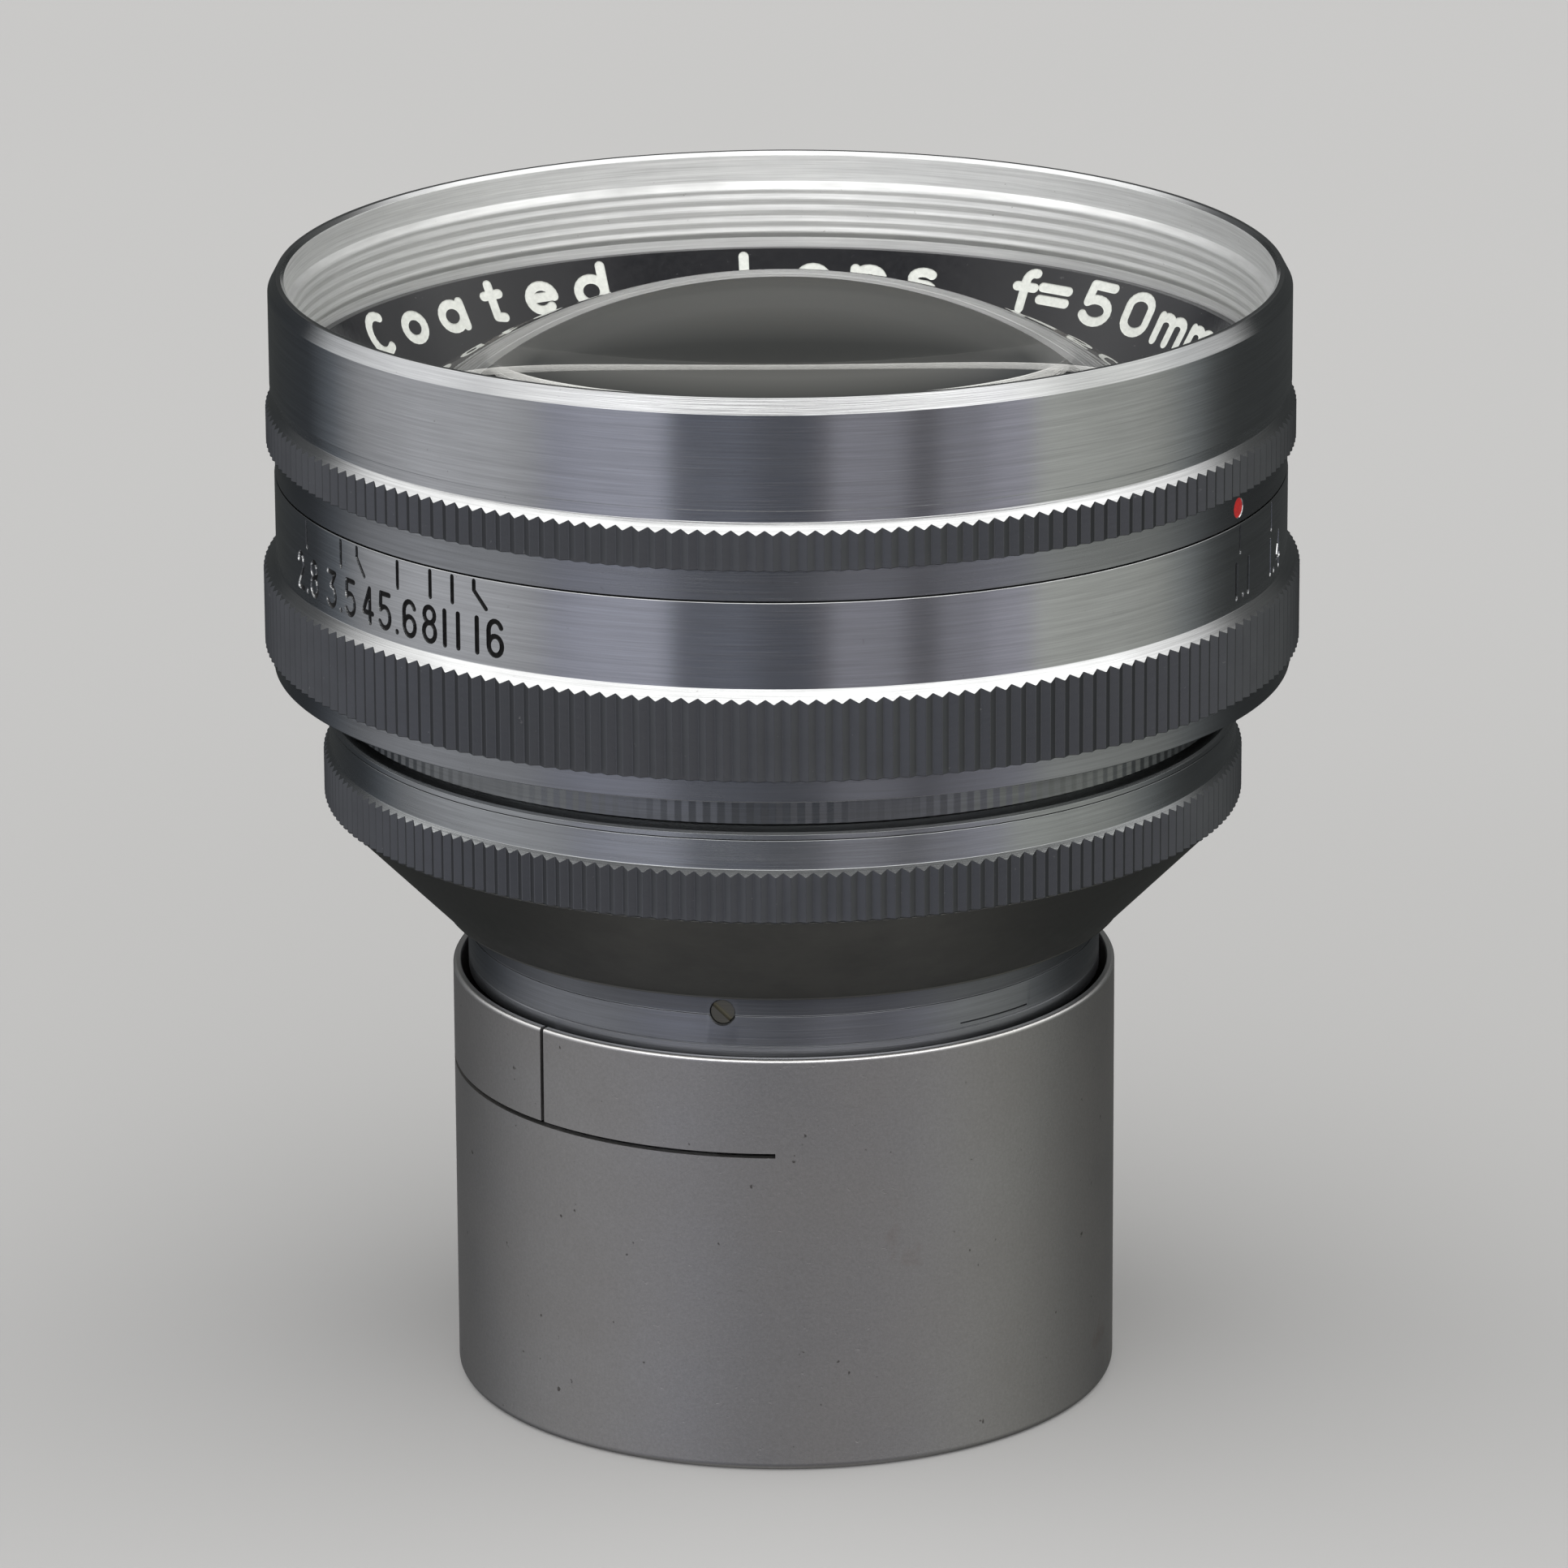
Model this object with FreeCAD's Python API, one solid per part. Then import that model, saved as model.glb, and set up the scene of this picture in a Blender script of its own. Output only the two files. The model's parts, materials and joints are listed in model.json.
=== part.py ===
"""A very fast standard camera lens that stands in its push-fit metal rear cap.

Millimetres and degrees. Z is the optical axis and the front glass faces +Z. The origin is the
centre of the cap's base. Azimuth 0 is the side that faces -Y, and azimuth grows towards +X.
Each function below makes one physical piece, and the last section writes one file for each.
"""
import FreeCAD, Part
import math
import os

from FreeCAD import Vector

AXIS = Vector(0, 0, 1)
ORIGIN = Vector(0, 0, 0)

# Clearances.
RUNNING = 0.08      # radial or axial, between pieces that turn on each other
SEATING = 0.05      # between pieces that are screwed, pressed or stacked together

# Broken edges of turned pieces.
FINE_EDGE = 0.05
EDGE = 0.1
SOFT_EDGE = 0.15

# How far a cutter reaches past the surface that it cuts.
PAST = 1.0

# Rear cap: a cup with a thin spring rim that two T-shaped slits divide into fingers.
CAP_RADIUS = 21.25
CAP_HEIGHT = 27.4
CAP_BORE = 20.75
CAP_LOWER_BORE = 19.6
CAP_FLOOR = 1.2
CAP_SHOULDER_Z = 20.3
CAP_RIM_ROUND = 0.35
CAP_BASE_ROUND = 0.5
SLIT_Z = 21.05
SLIT_WIDTH = 0.3
SLIT_AZIMUTH = -45.9
SLIT_HALF_SPAN = 44.3
SLIT_COUNT = 2

# Bayonet mount and collar; the collar's foot stands inside the cap's rim.
COLLAR_RADIUS = 20.25
COLLAR_LOW_Z = 26.9
COLLAR_BAND_Z = 29.87
COLLAR_TOP_Z = 31.45
COLLAR_BORE = 18.7
COLLAR_FOOT_BEVEL = 0.2
COLLAR_BAND_STEP = 0.08
COLLAR_TOP_BEVEL_WIDTH = 0.4
COLLAR_TOP_BEVEL_HEIGHT = 0.45
COLLAR_SCREW_COUNT = 3
COLLAR_SCREW_AZIMUTH = -11.0
COLLAR_SCREW_Z = 30.06
COLLAR_SCREW_RADIUS = 0.75
COLLAR_SCREW_RECESS = 0.25
COLLAR_SCREW_SLOT_LEAN = -42.0
BAYONET_RADIUS = 19.7
BAYONET_LUG_RADIUS = 20.3
BAYONET_LUG_HEIGHT = 1.85
BAYONET_LUG_SPAN = 36.0
BAYONET_LUG_COUNT = 3

# Screwdriver slots.
SLOT_WIDTH = 0.32
SLOT_DEPTH = 0.4
SLOT_LENGTH = 2.4       # in screw radii, so that a slot runs out at both ends

# Cone and rear knurled ring.
CONE_FOOT_RADIUS = 21.8
CONE_FOOT_Z = 31.62
CONE_TOP_RADIUS = 28.95
CONE_TOP_Z = 38.85
CONE_INSIDE_LOW_Z = 33.4
CONE_INSIDE_TOP_Z = 38.3
CONE_FLANGE_GAP = 0.2
CONE_SPIGOT_Z = 39.9
SPIGOT_RADIUS = 26.4
SPIGOT_BORE = 25.1
SHIM_GAP = 0.02
REAR_RING_LOW_Z = 38.89
REAR_RING_TOP_Z = 44.14
REAR_RING_RADIUS = 28.9
REAR_KNURL_TIP = 29.3
REAR_KNURL_ROOT = 29.04
REAR_KNURL_TOP_Z = 41.86
REAR_BEVEL_TOP_Z = 42.26
LIP_RING_LOW_Z = 44.18
LIP_RING_TOP_Z = 44.64

# Neck between the rear knurled ring and the aperture ring.
NECK_RADIUS = 28.4
NECK_GROOVE_RADIUS = 27.3
NECK_GROOVE_Z = 45.0
NECK_TOP_Z = 47.54

# Aperture ring: smooth band, knurl, bevel and number band.
APERTURE_LOW_Z = 47.6
APERTURE_BAND_RADIUS = 32.3
APERTURE_KNURL_LOW_Z = 49.05
APERTURE_KNURL_TOP_Z = 53.97
APERTURE_KNURL_TIP = 32.87
APERTURE_KNURL_ROOT = 32.58
SCALE_RADIUS = 32.05
SCALE_LOW_Z = 54.69
SCALE_TOP_Z = 60.12
APERTURE_TRAVEL = 82.0

# Fixed index ring: band with the two index dots, knurl, bevel and short collar.
INDEX_LOW_Z = 60.2
INDEX_RADIUS = 32.0
INDEX_KNURL_LOW_Z = 62.18
INDEX_KNURL_TOP_Z = 64.45
INDEX_KNURL_TIP = 32.55
INDEX_KNURL_ROOT = 32.28
INDEX_COLLAR_RADIUS = 31.9
INDEX_BEVEL_TOP_Z = 65.1
INDEX_TOP_Z = 65.84
INDEX_DOT_Z = 61.16
INDEX_DOT_AZIMUTH = 61.95
INDEX_DOT_RADIUS = 0.62
INDEX_DOT_DEPTH = 0.35
INDEX_DOT_RECESS = 0.05
INDEX_DOT_CLEARANCE = 0.01
INDEX_DOT_COUNT = 2

# Front rim and its filter thread.
RIM_LOW_Z = 65.87
RIM_RADIUS = 32.25
RIM_BEVEL_Z = 71.86
RIM_TOP_Z = 72.8
RIM_LIP_RADIUS = 31.75
RIM_BORE = 31.2
RIM_MOUTH_BEVEL = 0.25
FILTER_THREAD_LOW_Z = 66.9
FILTER_THREAD_TOP_Z = 70.8
FILTER_THREAD_MINOR = 30.6
FILTER_THREAD_MAJOR = 31.0
FILTER_THREAD_PITCH = 0.75

# Number of teeth on each of the three knurls.
KNURL_TEETH = 200
KNURL_OVERLAP = 0.05    # how far the turned blank stands outside the tooth tips

# Name ring: a steep black funnel from the filter thread down to the front glass.
NAME_RADIUS = 30.95
NAME_OUTER_RADIUS = 30.5
NAME_OUTER_Z = 66.4
NAME_INNER_RADIUS = 27.8
NAME_INNER_Z = 61.9
NAME_SEAT_Z = 61.0

# Main barrel: front tube, floor with the iris seat, and rear tube.
BARREL_RADIUS = 30.2
BARREL_BORE = 28.5
BARREL_TOP_Z = 61.95
BARREL_SHOULDER_Z = 48.3
BARREL_FLOOR_Z = 46.4
BARREL_SEAT_Z = 48.2
BARREL_SEAT_RADIUS = 27.5
BARREL_TAIL_RADIUS = 26.45
BARREL_TAIL_BORE = 25.0
BARREL_TAIL_Z = 40.05

# Cells that carry the glass.
FRONT_CELL_LOW_Z = 50.78
FRONT_CELL_FLANGE_Z = 53.2
FRONT_CELL_NOSE_RADIUS = 22.3
FRONT_CELL_STOP_BORE = 16.6
FRONT_CELL_STOP_THICKNESS = 0.24
REAR_CELL_RADIUS = 17.35
REAR_CELL_LOW_Z = 17.9
REAR_CELL_TOP_Z = 48.9
REAR_CELL_STOP_BORE = 12.6
REAR_CELL_RING_WIDTH = 1.2
REAR_LOCK_RING_Z = 18.1
REAR_BARREL_RADIUS = 18.65
REAR_BARREL_BORE = 17.4
REAR_BARREL_LOW_Z = 19.6
SPACER_WIDTH = 0.85
SPANNER_NOTCH_WIDTH = 1.2
SPANNER_NOTCH_DEPTH = 0.35

# Glass, front to back. Each surface is (height on the axis, signed radius, dish radius). A radius
# is positive when its centre lies towards the rear, and the face is flat outside the dish.
GLASS = {
    "glass_1_front_dome": ((71.4, 42.0, 27.9), (62.8, 90.0, 27.9), 27.9),
    "glass_2_front_positive": ((62.3, 30.0, 19.0), (58.0, 60.0, 19.0), 19.0),
    "glass_3_front_negative": ((58.0, 60.0, 19.0), (56.5, 24.0, 15.2), 19.0),
    "glass_4_rear_negative": ((44.0, -26.0, 14.0), (42.6, -60.0, 16.0), 16.0),
    "glass_5_rear_positive": ((42.6, -60.0, 16.0), (35.3, -28.0, 16.0), 16.0),
    "glass_6_relay_positive": ((34.9, 70.0, 15.5), (30.9, -80.0, 15.5), 15.5),
    "glass_7_rear_doublet_front": ((30.2, 45.0, 14.5), (25.4, 80.0, 14.5), 14.5),
    "glass_8_rear_doublet_back": ((25.4, 80.0, 14.5), (23.8, 40.0, 14.5), 14.5),
    "glass_9_rear_positive": ((23.2, 35.0, 13.5), (18.2, -150.0, 13.5), 13.5),
}

# Iris: ten blades in ten thin layers, between a base ring with pivot holes and a scroll ring.
BLADE_COUNT = 10
BLADE_PIVOT_RADIUS = 23.5
BLADE_TAIL_ANGLE = 18.0
BLADE_SWING = 32.4
BLADE_INNER_RADIUS = 14.7
BLADE_OUTER_RADIUS = 22.3
BLADE_SPAN = 105.0
BLADE_THICKNESS = 0.09
BLADE_PITCH = 0.13
BLADE_LOW_Z = 49.06
BLADE_EYE_RADIUS = 0.95
BLADE_TAIL_HALF_WIDTH = 0.75
STUD_RADIUS = 0.4
PIVOT_HOLE_RADIUS = 0.47
PIVOT_STUD_Z = 48.4
DRIVE_STUD_Z = 51.1
IRIS_BASE_RADIUS = 27.4
IRIS_BASE_BORE = 17.4
IRIS_BASE_LOW_Z = 48.25
IRIS_BASE_TOP_Z = 49.0
IRIS_BAFFLE_BORE = 14.5
IRIS_BAFFLE_LOW_Z = 50.45
IRIS_BAFFLE_TOP_Z = 50.72
SCROLL_RADIUS = 28.4
SCROLL_BORE = 22.6
SCROLL_LOW_Z = 50.42
SCROLL_GROOVE_Z = 51.2
SCROLL_TOP_Z = 52.5
SCROLL_GROOVE_HALF_WIDTH = 0.48
SCROLL_GROOVE_STEPS = 8
SCROLL_RETAINER_BORE = 23.0

# Screw that carries the aperture ring's turn through the barrel's window to the scroll ring.
DRIVE_SCREW_AZIMUTH = 180.0
DRIVE_SCREW_Z = 51.85
DRIVE_SCREW_TIP_RADIUS = 0.4
DRIVE_SCREW_RADIUS = 0.6
DRIVE_SCREW_HEAD_RADIUS = 1.0
DRIVE_SCREW_TIP_REACH = 26.2
DRIVE_SCREW_HEAD_REACH = 31.0
DRIVE_SCREW_END_REACH = 32.25
DRIVE_SCREW_TIP_CLEARANCE = 0.02
DRIVE_SCREW_SLOT_LEAN = 20.0
WINDOW_MARGIN = 1.5     # degrees of window beyond the screw's axis at each end of its travel


# ---------------------------------------------------------------- shared geometry

def angle_of(azimuth):
    """Angle about Z from +X, in degrees, of an azimuth."""
    return azimuth - 90.0


def polar(radius, angle, height=0.0):
    """Point at that radius and angle in degrees about Z."""
    turn = math.radians(angle)
    return Vector(radius * math.cos(turn), radius * math.sin(turn), height)


def turned(points):
    """Solid turned about Z from its closed outline of (radius, height) points."""
    corners = [Vector(radius, 0, height) for radius, height in points]
    outline = Part.Face(Part.makePolygon(corners + corners[:1]))
    return outline.revolve(ORIGIN, AXIS, 360)


def ring(outer, inner, low, high):
    """Plain flat ring."""
    return turned([(inner, low), (outer, low), (outer, high), (inner, high)])


def sector(outer, inner, low, high, start, span):
    """Part of a flat ring, from the start angle over span degrees."""
    corners = [(inner, low), (outer, low), (outer, high), (inner, high)]
    points = [Vector(radius, 0, height) for radius, height in corners]
    piece = Part.Face(Part.makePolygon(points + points[:1])).revolve(ORIGIN, AXIS, span)
    return turned_by(piece, start)


def turned_by(shape, angle):
    """Copy of a shape turned about Z."""
    copy = shape.copy()
    copy.rotate(ORIGIN, AXIS, angle)
    return copy


def around(shape, count):
    """Copies of a shape, evenly spaced about Z."""
    return [turned_by(shape, 360.0 * step / count) for step in range(count)]


def radial_rod(radius, start, end, azimuth, height):
    """Cylinder that lies along a radius, from start to end."""
    angle = angle_of(azimuth)
    return Part.makeCylinder(radius, end - start, polar(start, angle, height), polar(1, angle))


def driver_slot(azimuth, height, reach, radius, lean):
    """Block that cuts a screwdriver slot into the outer end of a radial screw."""
    length = SLOT_LENGTH * radius
    corner = Vector(reach - SLOT_DEPTH, -length / 2, -SLOT_WIDTH / 2)
    block = Part.makeBox(SLOT_DEPTH + PAST, length, SLOT_WIDTH, corner)
    block.rotate(ORIGIN, Vector(1, 0, 0), lean)
    block.translate(Vector(0, 0, height))
    return turned_by(block, angle_of(azimuth))


def spanner_notches(outer, inner, face):
    """Two blocks that cut spanner notches across a retaining ring, centred on its face."""
    corner = Vector(inner - PAST, -SPANNER_NOTCH_WIDTH / 2, face - SPANNER_NOTCH_DEPTH)
    block = Part.makeBox(
        outer - inner + 2 * PAST, SPANNER_NOTCH_WIDTH, 2 * SPANNER_NOTCH_DEPTH, corner,
    )
    return around(block, 2)


def knurled(blank, tip, root):
    """Cut straight V teeth round the widest band of a turned blank."""
    step = 180.0 / KNURL_TEETH
    box = blank.BoundBox
    low = box.ZMin - PAST
    corners = [polar(tip if n % 2 else root, n * step, low) for n in range(2 * KNURL_TEETH)]
    outline = Part.Face(Part.makePolygon(corners + corners[:1]))
    return blank.common(outline.extrude(AXIS * (box.ZLength + 2 * PAST)))


def surface_height(surface, radius):
    """Height of a glass surface at a distance from the axis."""
    apex, curve, dish = surface
    reach = min(radius, dish)
    return apex - math.copysign(abs(curve) - math.sqrt(curve * curve - reach * reach), curve)


def height_above(name, inner, outer):
    """Lowest height that clears a glass's front surface between two radii."""
    front = GLASS[name][0]
    return max(surface_height(front, inner), surface_height(front, outer)) + SEATING


def height_below(name, inner, outer):
    """Greatest height that clears a glass's rear surface between two radii."""
    rear = GLASS[name][1]
    return min(surface_height(rear, inner), surface_height(rear, outer)) - SEATING


def surface_edges(surface, edge_radius):
    """Edges of one glass surface's half section, from the axis out to the element's edge."""
    apex, curve, dish = surface
    rim = Vector(dish, 0, surface_height(surface, dish))
    middle = Vector(dish / 2, 0, surface_height(surface, dish / 2))
    edges = [Part.Arc(Vector(0, 0, apex), middle, rim).toShape()]
    if dish < edge_radius:
        edges.append(Part.LineSegment(rim, Vector(edge_radius, 0, rim.z)).toShape())
    return edges


# ---------------------------------------------------------------- rear cap

def rear_cap():
    """Cup with a shoulder inside, a rounded rim, and two T slits that free its spring fingers."""
    corner = CAP_BASE_ROUND * (1 - math.sqrt(0.5))
    rim = CAP_RIM_ROUND * (1 - math.sqrt(0.5))
    cup = turned([
        (0, 0),
        (CAP_RADIUS - CAP_BASE_ROUND, 0),
        (CAP_RADIUS - corner, corner),
        (CAP_RADIUS, CAP_BASE_ROUND),
        (CAP_RADIUS, CAP_HEIGHT - CAP_RIM_ROUND),
        (CAP_RADIUS - rim, CAP_HEIGHT - rim),
        (CAP_RADIUS - CAP_RIM_ROUND, CAP_HEIGHT),
        (CAP_BORE, CAP_HEIGHT),
        (CAP_BORE, CAP_SHOULDER_Z),
        (CAP_LOWER_BORE, CAP_SHOULDER_Z),
        (CAP_LOWER_BORE, CAP_FLOOR),
        (0, CAP_FLOOR),
    ])
    start = angle_of(SLIT_AZIMUTH) - SLIT_HALF_SPAN
    across = sector(
        CAP_RADIUS + PAST, CAP_BORE - PAST, SLIT_Z - SLIT_WIDTH / 2, SLIT_Z + SLIT_WIDTH / 2,
        start, 2 * SLIT_HALF_SPAN,
    )
    upright = Part.makeBox(
        CAP_RADIUS - CAP_BORE + 2 * PAST, SLIT_WIDTH, CAP_HEIGHT + PAST - SLIT_Z,
        Vector(CAP_BORE - PAST, -SLIT_WIDTH / 2, SLIT_Z),
    )
    slit = across.fuse(turned_by(upright, angle_of(SLIT_AZIMUTH)))
    return cup.cut(around(slit, SLIT_COUNT))


# ---------------------------------------------------------------- rear mount

def collar_screw_rods(radius, start, end):
    """One rod at each of the collar's screw places."""
    rod = radial_rod(radius, start, end, COLLAR_SCREW_AZIMUTH, COLLAR_SCREW_Z)
    return around(rod, COLLAR_SCREW_COUNT)


def bayonet_collar():
    """Bright collar with a bevelled top edge and three screw holes."""
    collar = turned([
        (COLLAR_BORE, COLLAR_LOW_Z),
        (COLLAR_RADIUS - COLLAR_FOOT_BEVEL, COLLAR_LOW_Z),
        (COLLAR_RADIUS, COLLAR_LOW_Z + COLLAR_FOOT_BEVEL),
        (COLLAR_RADIUS, COLLAR_BAND_Z),
        (COLLAR_RADIUS - COLLAR_BAND_STEP, COLLAR_BAND_Z + COLLAR_BAND_STEP / 2),
        (COLLAR_RADIUS, COLLAR_TOP_Z - COLLAR_TOP_BEVEL_HEIGHT),
        (COLLAR_RADIUS - COLLAR_TOP_BEVEL_WIDTH, COLLAR_TOP_Z),
        (COLLAR_BORE, COLLAR_TOP_Z),
    ])
    holes = collar_screw_rods(
        COLLAR_SCREW_RADIUS + SEATING, COLLAR_BORE - PAST, COLLAR_RADIUS + PAST,
    )
    return collar.cut(holes)


def collar_screws():
    """Three slotted grub screws, sunk a little below the collar's surface."""
    reach = COLLAR_RADIUS - COLLAR_SCREW_RECESS
    rod = radial_rod(
        COLLAR_SCREW_RADIUS, COLLAR_BORE + SEATING, reach, COLLAR_SCREW_AZIMUTH, COLLAR_SCREW_Z,
    )
    slot = driver_slot(
        COLLAR_SCREW_AZIMUTH, COLLAR_SCREW_Z, reach, COLLAR_SCREW_RADIUS, COLLAR_SCREW_SLOT_LEAN,
    )
    return Part.makeCompound(around(rod.cut(slot), COLLAR_SCREW_COUNT))


def bayonet_ring():
    """Ring below the collar, with three lugs at its rear end."""
    low = CAP_SHOULDER_Z + SEATING
    sleeve = ring(BAYONET_RADIUS, COLLAR_BORE, low, COLLAR_LOW_Z - SEATING)
    lug = sector(
        BAYONET_LUG_RADIUS, (COLLAR_BORE + BAYONET_RADIUS) / 2, low, low + BAYONET_LUG_HEIGHT,
        -BAYONET_LUG_SPAN / 2, BAYONET_LUG_SPAN,
    )
    return sleeve.fuse(around(lug, BAYONET_LUG_COUNT)).removeSplitter()


def mount_cone():
    """Dark cone that narrows from the rear knurled ring and overhangs the collar."""
    return turned([
        (COLLAR_BORE + SEATING, COLLAR_TOP_Z + SEATING),
        (CONE_FOOT_RADIUS, COLLAR_TOP_Z + SEATING),
        (CONE_FOOT_RADIUS, CONE_FOOT_Z),
        (CONE_TOP_RADIUS, CONE_TOP_Z),
        (SPIGOT_RADIUS, CONE_TOP_Z),
        (SPIGOT_RADIUS, CONE_SPIGOT_Z),
        (SPIGOT_BORE, CONE_SPIGOT_Z),
        (SPIGOT_BORE, CONE_INSIDE_TOP_Z),
        (COLLAR_BORE + SEATING, CONE_INSIDE_LOW_Z),
    ])


def rear_barrel():
    """Tube that carries the collar and the bayonet ring, with a flange inside the cone."""
    return turned([
        (REAR_BARREL_BORE, REAR_BARREL_LOW_Z),
        (REAR_BARREL_RADIUS, REAR_BARREL_LOW_Z),
        (REAR_BARREL_RADIUS, CONE_INSIDE_LOW_Z + CONE_FLANGE_GAP),
        (SPIGOT_BORE - EDGE, CONE_INSIDE_TOP_Z + CONE_FLANGE_GAP),
        (SPIGOT_BORE - EDGE, CONE_SPIGOT_Z),
        (REAR_BARREL_BORE, CONE_SPIGOT_Z),
    ])


def mount_shim():
    """Thin brass ring that sets the distance from the barrel to the mount."""
    return ring(
        SPIGOT_RADIUS, SPIGOT_BORE + EDGE, CONE_SPIGOT_Z + SHIM_GAP, BARREL_TAIL_Z - SHIM_GAP,
    )


def rear_knurled_ring():
    """Ring with a smooth band above a knurl."""
    blank = turned([
        (BARREL_TAIL_RADIUS + SEATING, REAR_RING_LOW_Z),
        (REAR_KNURL_TIP - EDGE, REAR_RING_LOW_Z),
        (REAR_KNURL_TIP + KNURL_OVERLAP, REAR_RING_LOW_Z + SOFT_EDGE),
        (REAR_KNURL_TIP + KNURL_OVERLAP, REAR_KNURL_TOP_Z - KNURL_OVERLAP),
        (REAR_RING_RADIUS, REAR_BEVEL_TOP_Z),
        (REAR_RING_RADIUS, REAR_RING_TOP_Z),
        (BARREL_TAIL_RADIUS + SEATING, REAR_RING_TOP_Z),
    ])
    return knurled(blank, REAR_KNURL_TIP, REAR_KNURL_ROOT)


def lip_ring():
    """Thin ring on top of the rear knurled ring, with a bevelled edge."""
    return turned([
        (BARREL_TAIL_RADIUS + SEATING, LIP_RING_LOW_Z),
        (REAR_RING_RADIUS, LIP_RING_LOW_Z),
        (REAR_RING_RADIUS, LIP_RING_TOP_Z - SOFT_EDGE),
        (REAR_RING_RADIUS - SOFT_EDGE, LIP_RING_TOP_Z),
        (BARREL_TAIL_RADIUS + SEATING, LIP_RING_TOP_Z),
    ])


def neck_ring():
    """Recessed ring under the aperture ring, which it holds up against the barrel's shoulder."""
    return turned([
        (BARREL_TAIL_RADIUS + SEATING, LIP_RING_TOP_Z + SEATING),
        (NECK_GROOVE_RADIUS, LIP_RING_TOP_Z + SEATING),
        (NECK_GROOVE_RADIUS, NECK_GROOVE_Z),
        (NECK_RADIUS, NECK_GROOVE_Z),
        (NECK_RADIUS, NECK_TOP_Z),
        (BARREL_TAIL_RADIUS + SEATING, NECK_TOP_Z),
    ])


# ---------------------------------------------------------------- barrel

def main_barrel():
    """Barrel with the iris seat on its floor and a window for the drive screw."""
    barrel = turned([
        (BARREL_TAIL_BORE, BARREL_TAIL_Z),
        (BARREL_TAIL_RADIUS, BARREL_TAIL_Z),
        (BARREL_TAIL_RADIUS, NECK_TOP_Z + SEATING),
        (BARREL_BORE, NECK_TOP_Z + SEATING),
        (BARREL_BORE, BARREL_SHOULDER_Z),
        (BARREL_RADIUS, BARREL_SHOULDER_Z),
        (BARREL_RADIUS, BARREL_TOP_Z),
        (BARREL_BORE, BARREL_TOP_Z),
        (BARREL_BORE, IRIS_BASE_TOP_Z),
        (BARREL_SEAT_RADIUS, IRIS_BASE_TOP_Z),
        (BARREL_SEAT_RADIUS, BARREL_SEAT_Z),
        (REAR_BARREL_BORE, BARREL_SEAT_Z),
        (REAR_BARREL_BORE, BARREL_FLOOR_Z),
        (BARREL_TAIL_BORE, BARREL_FLOOR_Z),
    ])
    half_height = DRIVE_SCREW_RADIUS + RUNNING
    edge = math.degrees(half_height / BARREL_BORE)
    start = angle_of(DRIVE_SCREW_AZIMUTH) - APERTURE_TRAVEL - edge - WINDOW_MARGIN
    window = sector(
        BARREL_RADIUS + PAST, BARREL_BORE - PAST, DRIVE_SCREW_Z - half_height,
        DRIVE_SCREW_Z + half_height, start, APERTURE_TRAVEL + 2 * (edge + WINDOW_MARGIN),
    )
    return barrel.cut(window)


def index_ring():
    """Fixed ring with a knurl above the band that holds the two index dots."""
    bore = BARREL_RADIUS + SEATING
    upper_bore = NAME_RADIUS + SEATING
    blank = turned([
        (bore, INDEX_LOW_Z),
        (INDEX_RADIUS - FINE_EDGE, INDEX_LOW_Z),
        (INDEX_RADIUS, INDEX_LOW_Z + FINE_EDGE),
        (INDEX_RADIUS, INDEX_KNURL_LOW_Z),
        (INDEX_KNURL_TIP + KNURL_OVERLAP, INDEX_KNURL_LOW_Z),
        (INDEX_KNURL_TIP + KNURL_OVERLAP, INDEX_KNURL_TOP_Z - KNURL_OVERLAP),
        (INDEX_COLLAR_RADIUS, INDEX_BEVEL_TOP_Z),
        (INDEX_COLLAR_RADIUS, INDEX_TOP_Z),
        (upper_bore, INDEX_TOP_Z),
        (upper_bore, BARREL_TOP_Z),
        (bore, BARREL_TOP_Z),
    ])
    toothed = knurled(blank, INDEX_KNURL_TIP, INDEX_KNURL_ROOT)
    dimples = index_dot_rods(
        INDEX_DOT_RADIUS + INDEX_DOT_CLEARANCE, INDEX_DOT_DEPTH + INDEX_DOT_CLEARANCE, -PAST,
    )
    return toothed.cut(dimples)


def index_dot_rods(radius, depth, recess):
    """One rod at each index dot, from depth to recess below the band's surface."""
    rod = radial_rod(
        radius, INDEX_RADIUS - depth, INDEX_RADIUS - recess, INDEX_DOT_AZIMUTH, INDEX_DOT_Z,
    )
    return around(rod, INDEX_DOT_COUNT)


def index_dots():
    """Two paint dots in round dimples, opposite each other."""
    return Part.makeCompound(index_dot_rods(INDEX_DOT_RADIUS, INDEX_DOT_DEPTH, INDEX_DOT_RECESS))


def front_rim():
    """Smooth front rim with a bevelled lip and the filter thread inside."""
    count = int((FILTER_THREAD_TOP_Z - FILTER_THREAD_LOW_Z) / FILTER_THREAD_PITCH)
    thread = []
    for turn in range(count):
        crest = FILTER_THREAD_TOP_Z - (turn + 0.5) * FILTER_THREAD_PITCH
        thread.append((FILTER_THREAD_MINOR, crest))
        thread.append((FILTER_THREAD_MAJOR, crest - 0.5 * FILTER_THREAD_PITCH))
    return turned([
        (NAME_RADIUS + SEATING, RIM_LOW_Z),
        (RIM_RADIUS - EDGE, RIM_LOW_Z),
        (RIM_RADIUS, RIM_LOW_Z + EDGE),
        (RIM_RADIUS, RIM_BEVEL_Z),
        (RIM_LIP_RADIUS, RIM_TOP_Z),
        (RIM_BORE + RIM_MOUTH_BEVEL, RIM_TOP_Z),
        (RIM_BORE, RIM_TOP_Z - RIM_MOUTH_BEVEL),
        (RIM_BORE, FILTER_THREAD_TOP_Z),
        *thread,
    ])


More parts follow.
